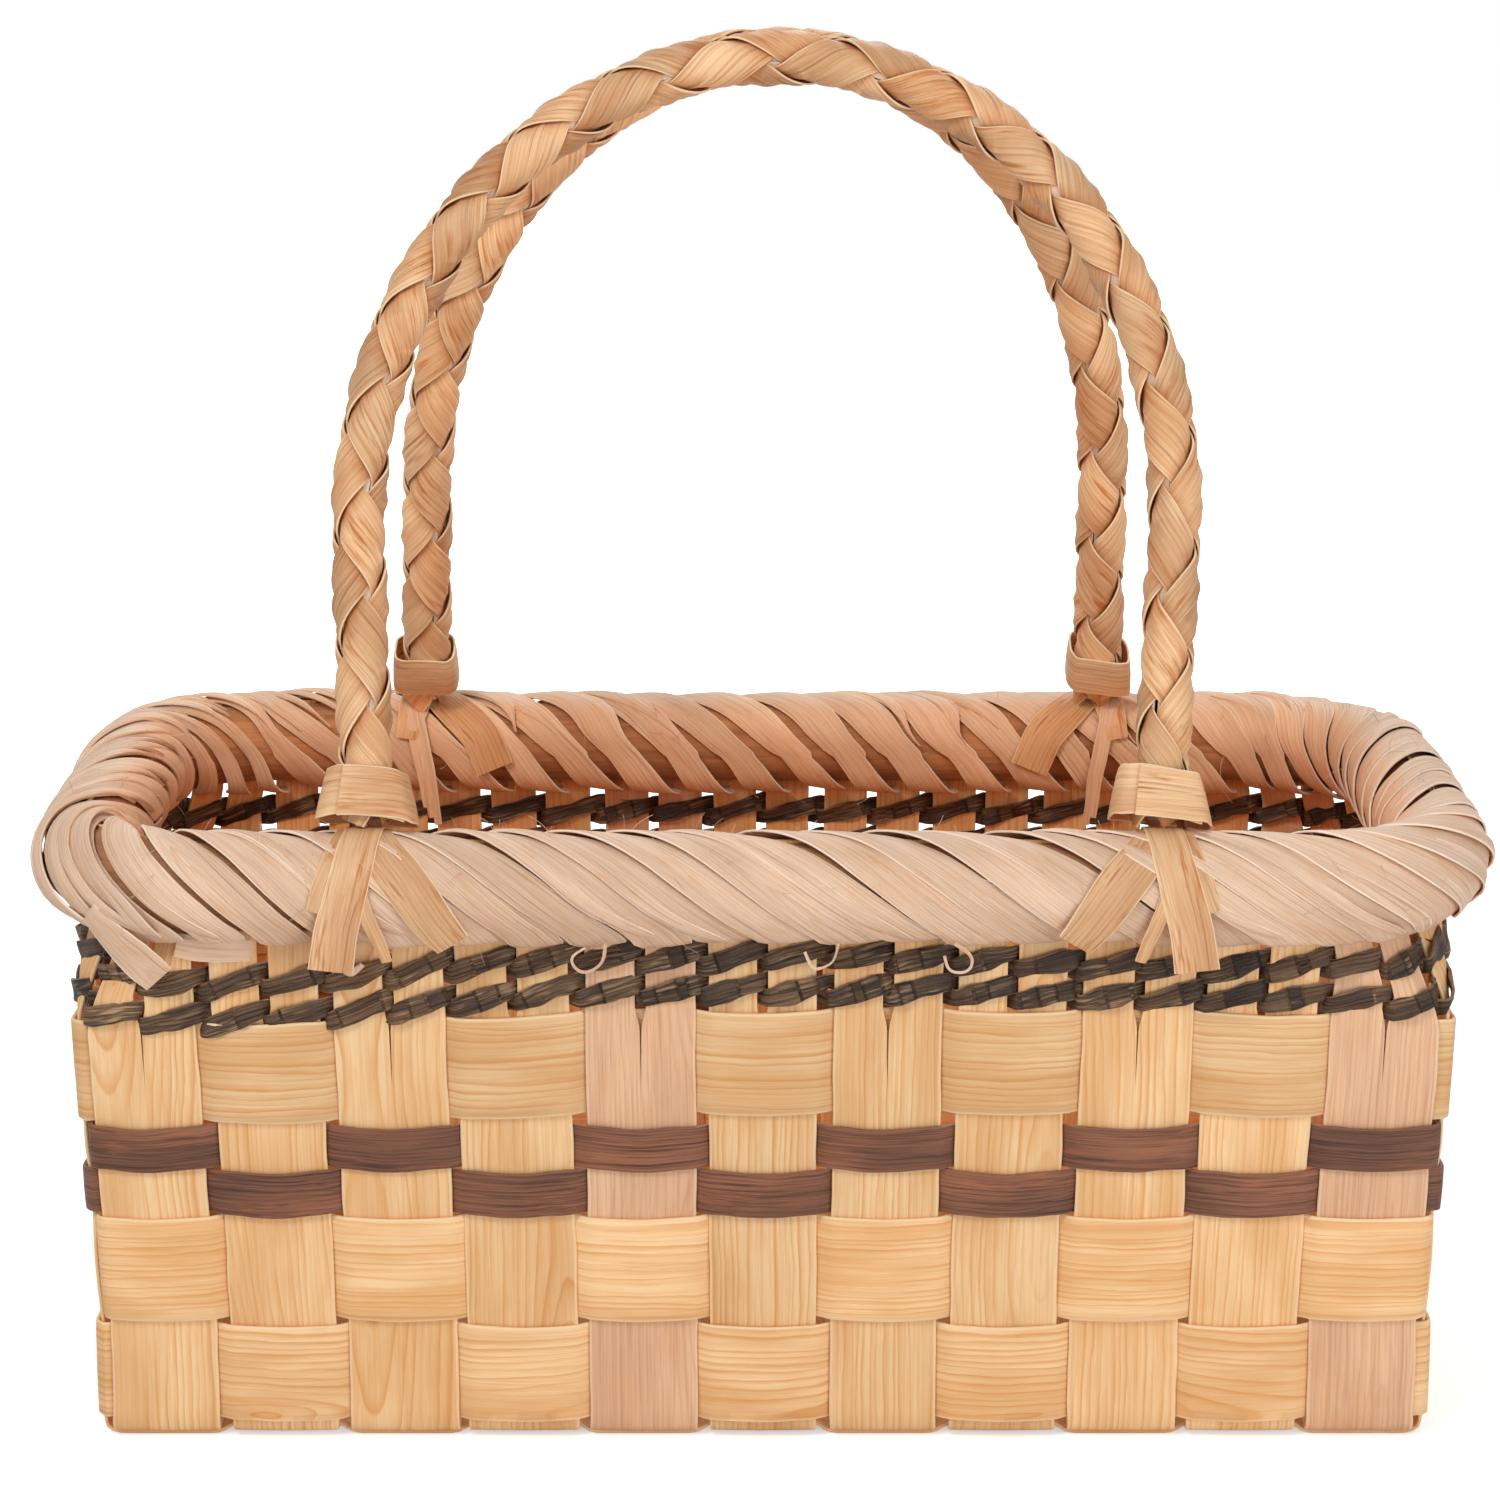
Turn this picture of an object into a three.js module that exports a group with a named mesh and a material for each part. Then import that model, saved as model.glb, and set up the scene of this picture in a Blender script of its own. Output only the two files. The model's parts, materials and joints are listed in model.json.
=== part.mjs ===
// A picnic basket woven from wide wood splints, with a wrapped rim and two braided swing handles.
// Millimetres, +Z up. X runs along the length, Y along the depth, and the front faces -Y.
// The origin is under the middle of the base, on the surface that the basket stands on.
import * as THREE from "three";

// Splints
const STAKE_WIDTH = 27;
const STAKE_GAP = 2.8; // between two upright splints
const SPLINT = 1; // thickness of every wood splint
const CROSS_COUNT = 11; // splints that run front, base, back
const LONG_COUNT = 5; // splints that run end, base, end
const FIT = 0.3; // clearance between pieces that touch
const CORNER_GAP = 0.6; // from the last stake's share of the wall to the corner

// Body
const FLARE = 4; // how far each wall leans out between the base and the rim
const FLARE_START_HEIGHT = 30; // the walls are upright below this height
const BASE_BEND = 3; // radius where a splint turns up from the base
const BASE_STRIP_WIDTH = 25.5; // the long splints are a little narrower on the base
const HALF_STAKE_GAP = 2.6; // the slit between the two halves of a stake's end

// Weavers, from the base up: each one's gap to the row below, and its width
const WEAVER_1_LOW = 5.6; // lowest edge of the first
const WEAVER_1_WIDTH = 24.6;
const WEAVER_2_GAP = 1.8;
const WEAVER_2_WIDTH = 26.8;
const BROWN_1_GAP = 1;
const BROWN_1_WIDTH = 11.2;
const BROWN_2_GAP = 0.8;
const BROWN_2_WIDTH = 10.8;
const WEAVER_3_GAP = 1;
const WEAVER_3_WIDTH = 24.6;

// Twined bark
const TWINE_GAP = 0.2; // from the slits' lower ends up to the lower row
const TWINE_ROW_GAP = 0.4;
const TWINE_RISE = 2.4; // a strand climbs this far above and below its row
const TWINE_HALF_HEIGHT = 2.1;
const TWINE_INNER_DEPTH = 0.7; // from a strand's middle to its inner face
const TWINE_OUTER_DEPTH = 1; // and to its rounded outer edge
const TWINE_EDGE_GAP = 0.5; // a strand runs this far past a half stake before it turns in

// Rim
const RIM_CORNER = 35; // plan radius of the rim's corners
const CORNER_START_GAP = 0.1; // from the upper twine to where the corners start to turn round
const CORNER_RISE_HEIGHT = 1.9; // and from there to where they are fully round
const HOOP_RADIUS = 12.1;
const HOOP_CHANNEL = 0.85; // half the slot between the two hoops, where the stakes end
const STAKE_END_BELOW_HOOP_TOP = 0.5;
const CORNER_RADIUS_LOW = 2;
const HOOP_CORNER_STEPS = 8;
const WRAP_STRIPS = 5;
const WRAP_GAP = 1.2; // from the hoops to the wrapping
const WRAP_THICKNESS = 0.9;
const WRAP_WIDTH = 13.4; // measured along the rim
const WRAP_PINCHED_WIDTH = 0.8; // where a turn passes between two half stakes

// Handles
const BRAID_RADIUS = 6.7;
const HANDLE_TOP = 337.3; // height of the braid's middle at the top of the arch
const HANDLE_TOP_GAP = 0.25; // half the gap between the two arches
const FRONT_LEG_AT_RIM = 96; // half the distance between the front handle's legs
const FRONT_LEG_AT_ARCH = 100;
const FRONT_ARCH_START = 93; // from the rim's middle up to where the legs turn into the arch
const BACK_LEG_AT_RIM = 92; // the back handle is narrower
const BACK_LEG_AT_ARCH = 90;
const BACK_ARCH_START = 80;
const ARCH_SIDE_LEAN = 4; // the arches lean a little to one end at the top
const FOOT_CLEARANCE = 0.3; // from the tails on the rim to the handle that swings over them
const CORE_RADIUS = 3.4;
const CORE_SIDES = 5;
const CORE_STEPS = 26;
const BRAID_TURNS = 9; // each strand turns this often round its handle, from foot to foot
const STRAND_WIDTH = 5;
const STRAND_OVER = 6.5; // middle radius where a strand passes over
const STRAND_UNDER = 4.8; // and under
const STRAND_OUT = 0.3; // strand thickness outside and inside its middle line
const STRAND_IN = 0.6;
const CROSSING_REACH = 3.4; // a strand stays over or under this far from each crossing
const COLLAR_HEIGHT = 15;
const COLLAR_TOP_HALF_WIDTH = 10;
const COLLAR_BOTTOM_HALF_WIDTH = 12.2;
const COLLAR_WALL = 1;
const TAIL_THICKNESS = 0.7;
const TAIL_WIDTH = 10;
const TAIL_HANG = 6; // a tail hangs this far past its last turn round the rim
const TAIL_START = Math.PI * 3 / 4; // angle where a tail starts: 0 is the side that it comes down on
const TAIL_TURN = Math.PI * 3 / 4; // and turns this far round the rim
const TAIL_STEPS = 6;
const UNDER_TAIL_SHIFT = 20; // how far along the rim the lower tail runs
const OVER_TAIL_SHIFT = 5;

// Worked out from the sizes above
const STAKE_PITCH = STAKE_WIDTH + STAKE_GAP;
const HALF_STAKE_WIDTH = (STAKE_WIDTH - HALF_STAKE_GAP) / 2;
const HALF_LENGTH = CROSS_COUNT * STAKE_PITCH / 2 + CORNER_GAP;
const HALF_DEPTH = LONG_COUNT * STAKE_PITCH / 2 + CORNER_GAP;
const HALF_PITCH = STAKE_PITCH / 2;
const WEAVE_OFFSET = SPLINT + FIT; // a weaver's middle, out from or in from the stakes' middle
const BASE_HEIGHT = WEAVE_OFFSET + SPLINT / 2; // middle of the cross stakes on the base
const WEAVER_2_LOW = WEAVER_1_LOW + WEAVER_1_WIDTH + WEAVER_2_GAP;
const BROWN_1_LOW = WEAVER_2_LOW + WEAVER_2_WIDTH + BROWN_1_GAP;
const BROWN_2_LOW = BROWN_1_LOW + BROWN_1_WIDTH + BROWN_2_GAP;
const WEAVER_3_LOW = BROWN_2_LOW + BROWN_2_WIDTH + WEAVER_3_GAP;
const SPLIT_HEIGHT = WEAVER_3_LOW + WEAVER_3_WIDTH + FIT; // each stake is slit into two halves above this
const TWINE_REACH = TWINE_RISE + TWINE_HALF_HEIGHT; // from a row's middle to its highest and lowest points
const TWINE_LOW = SPLIT_HEIGHT + TWINE_GAP + TWINE_REACH; // middle height of the lower row
const TWINE_ROW_PITCH = 2 * TWINE_REACH + TWINE_ROW_GAP;
const ROUND_FROM = TWINE_LOW + TWINE_ROW_PITCH + TWINE_REACH + CORNER_START_GAP; // corners are square below
const ROUND_TO = ROUND_FROM + CORNER_RISE_HEIGHT; // and fully round above this, where the wrapping starts
const WRAP_INNER = HOOP_RADIUS + WRAP_GAP;
const WRAP_OUTER = WRAP_INNER + WRAP_THICKNESS;
const RIM_HEIGHT = ROUND_TO + FIT + WRAP_OUTER; // middle of the rolled rim, also the handles' axis
const STAKE_TOP = RIM_HEIGHT + HOOP_RADIUS - STAKE_END_BELOW_HOOP_TOP;
const UNDER_TAIL_INNER = WRAP_OUTER + FIT;
const OVER_TAIL_INNER = UNDER_TAIL_INNER + TAIL_THICKNESS + FIT;
const FOOT_START = OVER_TAIL_INNER + TAIL_THICKNESS + FOOT_CLEARANCE;
const RIM_HALF_DEPTH = HALF_DEPTH + FLARE;
const APEX_INSET = RIM_HALF_DEPTH - BRAID_RADIUS - HANDLE_TOP_GAP;
const HANDLE_REACH = Math.hypot(APEX_INSET, HANDLE_TOP - RIM_HEIGHT);
const HANDLE_LEAN = Math.atan2(APEX_INSET, HANDLE_TOP - RIM_HEIGHT);
const GAP_COUNT = 4 * (CROSS_COUNT + LONG_COUNT); // gaps between half stakes, all round

const MATERIALS = {
  splint: { color: 0xeec896, roughness: 0.6 },
  pinkSplint: { color: 0xe1b496, roughness: 0.6 },
  brown: { color: 0x5f3e34, roughness: 0.65 },
  bark: { color: 0x3d352b, roughness: 0.85 },
  bast: { color: 0xe6c3a8, roughness: 0.7 },
  hoop: { color: 0x9c6a42, roughness: 0.75 },
  braid: { color: 0xe2bb85, roughness: 0.65 },
};

const FRONT = 0;
const RIGHT = 1;
const BACK = 2;
const LEFT = 3;

const basket = new THREE.Group();
const frontArch = arch(FRONT_LEG_AT_RIM, FRONT_LEG_AT_ARCH, FRONT_ARCH_START);
const backArch = arch(BACK_LEG_AT_RIM, BACK_LEG_AT_ARCH, BACK_ARCH_START);

function addPiece(name, geometry, material) {
  const mesh = new THREE.Mesh(outward(geometry), new THREE.MeshStandardMaterial(MATERIALS[material]));
  mesh.name = name;
  basket.add(mesh);
}

function vec(x, y, z) {
  return new THREE.Vector3(x, y, z);
}

// How far a value has come from low to high, held between 0 and 1.
function share(low, high, value) {
  return THREE.MathUtils.clamp((value - low) / (high - low), 0, 1);
}

// Turns a closed geometry's faces outwards, from the sign of its volume.
function outward(geometry) {
  const points = geometry.getAttribute("position");
  const index = geometry.getIndex().array;
  const a = vec();
  const b = vec();
  const c = vec();
  let volume = 0;
  for (let i = 0; i < index.length; i += 3) {
    a.fromBufferAttribute(points, index[i]);
    b.fromBufferAttribute(points, index[i + 1]);
    c.fromBufferAttribute(points, index[i + 2]);
    volume += a.dot(b.cross(c));
  }
  if (volume < 0) {
    for (let i = 0; i < index.length; i += 3) {
      [index[i], index[i + 1]] = [index[i + 1], index[i]];
    }
  }
  geometry.computeVertexNormals();
  return geometry;
}

function geometryFrom(points, triangles) {
  const geometry = new THREE.BufferGeometry().setFromPoints(points);
  geometry.setIndex(triangles);
  return geometry;
}

// Two triangles for the quad a, b, c, d, split along its shorter diagonal.
function pushQuad(triangles, points, a, b, c, d) {
  if (points[a].distanceTo(points[c]) <= points[b].distanceTo(points[d])) {
    triangles.push(a, b, c, a, c, d);
  } else {
    triangles.push(a, b, d, b, c, d);
  }
}

// A bar through sections that all have the same number of corners. It is a ring, or has flat ends.
function barThrough(sections, isRing) {
  const sides = sections[0].length;
  const points = sections.flat();
  const triangles = [];
  const spans = isRing ? sections.length : sections.length - 1;
  for (let i = 0; i < spans; i++) {
    const next = (i + 1) % sections.length;
    for (let k = 0; k < sides; k++) {
      const l = (k + 1) % sides;
      pushQuad(triangles, points, i * sides + k, i * sides + l, next * sides + l, next * sides + k);
    }
  }
  if (!isRing) {
    const last = (sections.length - 1) * sides;
    for (let k = 1; k < sides - 1; k++) {
      triangles.push(0, k + 1, k, last, last + k, last + k + 1);
    }
  }
  return geometryFrom(points, triangles);
}

// Triangles between two rows of corners that start and end together, given as [place across, point number].
function zipRows(triangles, first, second) {
  let i = 0;
  let j = 0;
  while (i < first.length - 1 || j < second.length - 1) {
    const isFirst = j === second.length - 1
      || (i < first.length - 1 && first[i + 1][0] + first[i][0] < second[j + 1][0] + second[j][0]);
    if (isFirst) {
      triangles.push(first[i][1], second[j][1], first[i + 1][1]);
      i += 1;
    } else {
      triangles.push(first[i][1], second[j][1], second[j + 1][1]);
      j += 1;
    }
  }
}

// A closed solid from flat bands that share edges. Each band is a list of rows, and a row holds a station and
// the places across it. pointAt(station, across, out) gives the point, out from the middle of the thickness.
function bandSolid(bands, pointAt, thickness) {
  const points = [];
  const numbers = new Map();
  const triangles = [];
  const edges = new Map();
  const number = (station, across, face) => {
    const key = `${station} ${across.toFixed(3)} ${face}`;
    if (!numbers.has(key)) {
      numbers.set(key, points.length);
      points.push(pointAt(station, across, (face - 0.5) * thickness));
    }
    return numbers.get(key);
  };
  for (const band of bands) {
    for (let i = 0; i < band.length - 1; i++) {
      const row = ([station, places], face) => {
        return places.map((across) => [across, number(station, across, face)]);
      };
      const outer = [];
      zipRows(outer, row(band[i], 1), row(band[i + 1], 1));
      const inner = [];
      zipRows(inner, row(band[i], 0), row(band[i + 1], 0));
      triangles.push(...outer, ...inner.reverse());
      for (let k = 0; k < outer.length; k += 3) {
        for (let m = 0; m < 3; m++) {
          const from = outer[k + m];
          const to = outer[k + (m + 1) % 3];
          if (!edges.delete(`${to} ${from}`)) {
            edges.set(`${from} ${to}`, [from, to]);
          }
        }
      }
    }
  }
  // Each point and the one through the thickness from it were numbered apart, so their keys pair them.
  const through = new Map();
  for (const [key, value] of numbers) {
    if (key.endsWith("1")) {
      through.set(value, numbers.get(`${key.slice(0, -1)}0`));
    }
  }
  for (const [from, to] of edges.values()) {
    pushQuad(triangles, points, from, through.get(from), through.get(to), to);
  }
  return geometryFrom(points, triangles);
}

// The walls' middle surface is a rounded rectangle that grows with height.
function flareAt(height) {
  return FLARE * share(FLARE_START_HEIGHT, ROUND_FROM, height);
}

function cornerAt(height) {
  return THREE.MathUtils.lerp(CORNER_RADIUS_LOW, RIM_CORNER, share(ROUND_FROM, ROUND_TO, height));
}

function halfSide(side, height) {
  return (side % 2 === 0 ? HALF_LENGTH : HALF_DEPTH) + flareAt(height);
}

// A point of the wall: along is measured from the side's middle, anticlockwise seen from above, and runs
// on round the corner up to its middle, where along equals half the side.
function onWall(side, along, height, out) {
  const half = halfSide(side, height);
  const reach = halfSide(side + 1, height);
  const radius = cornerAt(height);
  const past = Math.abs(along) - (half - radius);
  let x = along;
  let y = -(reach + out);
  if (past > 0) {
    const angle = past / radius * Math.PI / 4;
    x = Math.sign(along) * (half - radius + (radius + out) * Math.sin(angle));
    y = -(reach - radius + (radius + out) * Math.cos(angle));
  }
  return vec(x, y, height).applyAxisAngle(vec(0, 0, 1), side * Math.PI / 2);
}

// A place along a side at the base, moved out with the wall's length at a height. So the stakes fan out.
function fanned(side, along, height) {
  return along * halfSide(side, height) / halfSide(side, 0);
}

function stakeCount(side) {
  return side % 2 === 0 ? CROSS_COUNT : LONG_COUNT;
}

// A rectangle of a wall piece's section, from its low and high edges and its in and out faces. It stands
// across from a place that fans out with the wall.
function wallSection(side, along, across, low, high, inner, outer) {
  const corner = (height, out) => onWall(side, fanned(side, along, height) + across, height, out);
  return [corner(low, inner), corner(low, outer), corner(high, outer), corner(high, inner)];
}

// A weaver is one closed band that passes outside one stake and inside the next.
function weaver(low, width, isOutOnEven) {
  const sections = [];
  const edge = STAKE_WIDTH / 2 + FIT;
  let stake = 0;
  for (let side = FRONT; side <= LEFT; side++) {
    const count = stakeCount(side);
    for (let i = 0; i < count; i++) {
      const middle = (i - (count - 1) / 2) * STAKE_PITCH;
      const offset = (stake % 2 === 0) === isOutOnEven ? WEAVE_OFFSET : -WEAVE_OFFSET;
      for (const across of [-edge, edge]) {
        const inner = offset - SPLINT / 2;
        sections.push(wallSection(side, middle, across, low, low + width, inner, inner + SPLINT));
      }
      stake += 1;
    }
    sections.push(wallSection(side, halfSide(side, 0), 0, low, low + width, -SPLINT / 2, SPLINT / 2));
  }
  return barThrough(sections, true);
}

// One strand of a twined row. It passes outside one half stake, climbing, and inside the next, falling.
function twineStrand(rowHeight, isOutOnEven) {
  const sections = [];
  const reach = HALF_STAKE_WIDTH / 2 + TWINE_EDGE_GAP;
  const outside = SPLINT / 2 + FIT + TWINE_INNER_DEPTH;
  const inside = -(SPLINT / 2 + FIT + TWINE_OUTER_DEPTH);
  const section = (side, along, across, offset, height) => {
    const corner = (up, out) => {
      return onWall(side, fanned(side, along, height + up) + across, height + up, offset + out);
    };
    return [
      corner(-TWINE_HALF_HEIGHT, -TWINE_INNER_DEPTH),
      corner(0, TWINE_OUTER_DEPTH),
      corner(TWINE_HALF_HEIGHT, -TWINE_INNER_DEPTH),
    ];
  };
  let half = 0;
  for (let side = FRONT; side <= LEFT; side++) {
    const count = 2 * stakeCount(side);
    let height = rowHeight;
    for (let i = 0; i < count; i++) {
      const middle = (i - (count - 1) / 2) * HALF_PITCH;
      const isOut = (half % 2 === 0) === isOutOnEven;
      const rise = isOut ? TWINE_RISE : -TWINE_RISE;
      const offset = isOut ? outside : inside;
      sections.push(section(side, middle, -reach, offset, rowHeight - rise));
      sections.push(section(side, middle, reach, offset, rowHeight + rise));
      height = rowHeight + rise;
      half += 1;
    }
    sections.push(section(side, halfSide(side, 0), 0, (inside + outside) / 2, height));
  }
  return barThrough(sections, true);
}

// Heights of a splint's stations up a wall, to its end inside the rim.
const STRAIGHT_HEIGHTS = [FLARE_START_HEIGHT, SPLIT_HEIGHT, ROUND_FROM, STAKE_TOP];
const CORNER_HEIGHTS = [FLARE_START_HEIGHT, SPLIT_HEIGHT, ROUND_FROM, ROUND_TO, STAKE_TOP];

// A splint that runs down one wall, along the base and up the other wall. Its ends are slit into two halves.
// place(across, side, height) is where it stands on a wall, basePath its middle line on the base, and
// toPoint(across, along, height) a point of the base.
function stake(startSide, endSide, place, basePath, toPoint, isCornerStake) {
  const edge = STAKE_WIDTH / 2;
  const slit = HALF_STAKE_GAP / 2;
  const half = HALF_PITCH / 2;
  const heights = isCornerStake ? CORNER_HEIGHTS : STRAIGHT_HEIGHTS;
  const halves = isCornerStake ? [[-edge, -half, -slit], [slit, half, edge]] : [[-edge, -slit], [slit, edge]];
  const wall = heights.length;
  const last = 2 * wall + basePath.length - 1;
  const slitStation = wall - 1 - heights.indexOf(SPLIT_HEIGHT);
  const pointAt = (station, across, out) => {
    if (station < wall) {
      const height = heights[wall - 1 - station];
      return onWall(startSide, place(across, startSide, height), height, -out);
    }
    if (station > last - wall) {
      const height = heights[station - last + wall - 1];
      return onWall(endSide, place(across, endSide, height), height, -out);
    }
    return onBase(basePath, station - wall, across, out, toPoint);
  };
  const bands = [];
  for (const places of halves) {
    const start = [];
    const end = [];
    for (let k = 0; k <= slitStation; k++) {
      start.push([k, places]);
      end.push([last - slitStation + k, places]);
    }
    bands.push(start, end);
  }
  const middle = [[slitStation, halves.flat()]];
  for (let k = slitStation + 1; k < last - slitStation; k++) {
    middle.push([k, [-edge, edge]]);
  }
  middle.push([last - slitStation, halves.flat()]);
  bands.push(middle);
  return bandSolid(bands, pointAt, SPLINT);
}

// A point of a splint on the base, where its path turns with a mitre.
function onBase(path, k, across, out, toPoint) {
  const here = path[k];
  const before = path[k - 1] ?? new THREE.Vector2(here.x, here.y + 1);
  const after = path[k + 1] ?? new THREE.Vector2(here.x, here.y + 1);
  const inward = here.clone().sub(before).normalize();
  const onward = after.clone().sub(here).normalize();
  const tangent = inward.clone().add(onward).normalize();
  const stretch = 1 / tangent.dot(onward);
  const normal = new THREE.Vector2(-tangent.y, tangent.x).multiplyScalar(out * stretch);
  const narrowing = here.isNarrow ? BASE_STRIP_WIDTH / STAKE_WIDTH : 1;
  return toPoint(across * narrowing, here.x + normal.x, here.y + normal.y);
}

function pathPoint(along, height, isNarrow) {
  const point = new THREE.Vector2(along, height);
  point.isNarrow = isNarrow;
  return point;
}

// The quarter turns at both ends of a straight run at one height.
function bentPath(reach, height, radius, steps) {
  const half = [];
  for (let i = 0; i <= steps; i++) {
    const angle = i / steps * Math.PI / 2;
    half.push([reach - radius * (1 - Math.cos(angle)), height + radius * (1 - Math.sin(angle))]);
  }
  const start = half.map(([along, up]) => pathPoint(-along, up, false));
  const end = half.reverse().map(([along, up]) => pathPoint(along, up, false));
  return [...start, ...end];
}

function crossStake(i) {
  const x = (i - (CROSS_COUNT - 1) / 2) * STAKE_PITCH;
  const place = (across, side, height) => (side === FRONT ? 1 : -1) * (fanned(side, x, height) + across);
  const toPoint = (across, along, height) => vec(x + across, along, height);
  const isCorner = i === 0 || i === CROSS_COUNT - 1;
  return stake(FRONT, BACK, place, bentPath(HALF_DEPTH, BASE_HEIGHT, BASE_BEND, 2), toPoint, isCorner);
}

// A long splint goes over one cross stake and under the next.
function longStake(j) {
  const y = (j - (LONG_COUNT - 1) / 2) * STAKE_PITCH;
  const place = (across, side, height) => (side === RIGHT ? 1 : -1) * (fanned(side, y, height) + across);
  const toPoint = (across, along, height) => vec(along, y + across, height);
  const edge = STAKE_WIDTH / 2 + FIT;
  const path = [];
  for (let i = 0; i < CROSS_COUNT; i++) {
    const middle = (i - (CROSS_COUNT - 1) / 2) * STAKE_PITCH;
    const height = BASE_HEIGHT + ((i + j) % 2 === 1 ? WEAVE_OFFSET : -WEAVE_OFFSET);
    path.push(pathPoint(middle - edge, height, true), pathPoint(middle + edge, height, true));
  }
  const turnUp = (sign, height) => {
    const rise = (BASE_HEIGHT + BASE_BEND - height) / 3;
    return [
      pathPoint(sign * HALF_LENGTH, BASE_HEIGHT + BASE_BEND, false),
      pathPoint(sign * HALF_LENGTH, height + 2 * rise, false),
      pathPoint(sign * (HALF_LENGTH - FIT - SPLINT / 2), height + rise / 2, true),
    ];
  };
  path.unshift(...turnUp(-1, path[0].y));
  path.push(...turnUp(1, path[path.length - 1].y).reverse());
  const isCorner = j === 0 || j === LONG_COUNT - 1;
  return stake(LEFT, RIGHT, place, path, toPoint, isCorner);
}

// A point round the rolled rim: the angle is 0 on the outside, and 90 degrees on top.
function onRim(side, along, radius, angle) {
  const flat = onWall(side, along, RIM_HEIGHT, radius * Math.cos(angle));
  flat.z += radius * Math.sin(angle);
  return flat;
}

// A half-round hoop, on the outside or the inside of the stakes' ends.
function hoop(isOuter) {
  const sections = [];
  const facets = 4;
  const corners = [];
  for (let k = 0; k <= facets; k++) {
    const angle = Math.PI / 2 - k / facets * Math.PI;
    const isEnd = k === 0 || k === facets;
    corners.push([isEnd ? HOOP_CHANNEL : HOOP_RADIUS * Math.cos(angle), HOOP_RADIUS * Math.sin(angle)]);
  }
  for (let side = FRONT; side <= LEFT; side++) {
    const straight = halfSide(side, RIM_HEIGHT) - RIM_CORNER;
    const stations = [];
    for (let k = 0; k <= HOOP_CORNER_STEPS / 2; k++) {
      stations.push(straight + RIM_CORNER * k / (HOOP_CORNER_STEPS / 2));
    }
    const mirrored = stations.slice(0, -1).reverse().map((along) => -along);
    for (const along of [...mirrored, ...stations]) {
      sections.push(corners.map(([out, up]) => {
        const point = onWall(side, along, RIM_HEIGHT, isOuter ? out : -out);
        point.z += up;
        return point;
      }));
    }
  }
  return barThrough(sections, true);
}

// Where a place counted in half-stake gaps all round the basket lies: its side and how far along that side.
// Whole numbers are the middles of the gaps, and a side's first gap is at its corner.
function gapPlace(gap) {
  let rest = THREE.MathUtils.euclideanModulo(gap, GAP_COUNT);
  let side = FRONT;
  while (rest >= 2 * stakeCount(side)) {
    rest -= 2 * stakeCount(side);
    side += 1;
  }
  const count = 2 * stakeCount(side);
  const past = Math.max(0, 1 - rest, rest - (count - 1));
  const along = (rest - count / 2) * HALF_PITCH;
  return [side, fanned(side, along + Math.sign(along) * past * CORNER_GAP, RIM_HEIGHT)];
}

// A wrapping strip's course round the rim: the angle in degrees, how many gaps it is behind or ahead of the
// gap that it passes through, and whether it is pinched there.
const WRAP_COURSE = [
  [180, -3.95], [135, -3.35], [90, -2.8], [45, -1.8], [0, -0.95], [-45, -0.15], [-90, 0], [-135, 0.1],
];
const WRAP_PINCH_ANGLE = -90; // under the rim, between two half stakes

// One strip of the rim's wrapping, wound on through every fifth gap.
function wrapStrip(first) {
  const sections = [];
  for (let gap = first; gap < GAP_COUNT; gap += WRAP_STRIPS) {
    for (const [degrees, ahead] of WRAP_COURSE) {
      const angle = THREE.MathUtils.degToRad(degrees);
      const width = (degrees === WRAP_PINCH_ANGLE ? WRAP_PINCHED_WIDTH : WRAP_WIDTH) / HALF_PITCH;
      const before = gapPlace(gap + ahead - width / 2);
      const after = gapPlace(gap + ahead + width / 2);
      sections.push([
        onRim(...before, WRAP_INNER, angle),
        onRim(...after, WRAP_INNER, angle),
        onRim(...after, WRAP_OUTER, angle),
        onRim(...before, WRAP_OUTER, angle),
      ]);
    }
  }
  return sections;
}

// The least distance between parts of one winding that are most of a turn apart, on its corner points.
function leastGap(sections) {
  const apart = WRAP_COURSE.length - 2;
  let least = Infinity;
  for (let i = 0; i < sections.length; i++) {
    for (let j = i + apart; j < sections.length; j++) {
      for (const a of sections[i]) {
        for (const b of sections[j]) {
          least = Math.min(least, a.distanceTo(b));
        }
      }
    }
  }
  return least;
}

// A handle's middle line in its own plane, x along the basket and y up from the rim's middle, with the place
// of its feet.
function arch(legAtRim, legAtArch, startHeight) {
  const height = HANDLE_REACH - startHeight;
  const steps = 24;
  const points = [vec(-legAtRim, FOOT_START, 0)];
  for (let k = 0; k <= steps; k++) {
    const angle = Math.PI * (1 - k / steps);
    points.push(vec(legAtArch * Math.cos(angle), startHeight + height * Math.sin(angle), 0));
  }
  points.push(vec(legAtRim, FOOT_START, 0));
  for (const point of points) {
    point.x += sideLean(point.y);
  }
  const line = new THREE.CatmullRomCurve3(points, false, "centripetal");
  return { legAtRim, line };
}

function archOf(isFront) {
  return isFront ? frontArch : backArch;
}

// How far the arches have leant towards one end at a height above the rim's middle.
function sideLean(up) {
  return ARCH_SIDE_LEAN * (up / HANDLE_REACH) ** 2;
}

// From a handle's plane to the basket. The two planes are mirror images, and out is away from the other one.
function handlePoint(isFront, along, up, out) {
  const fromMiddle = RIM_HALF_DEPTH - up * Math.sin(HANDLE_LEAN) + out * Math.cos(HANDLE_LEAN);
  const z = RIM_HEIGHT + up * Math.cos(HANDLE_LEAN) + out * Math.sin(HANDLE_LEAN);
  return vec(along, isFront ? -fromMiddle : fromMiddle, z);
}

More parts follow.
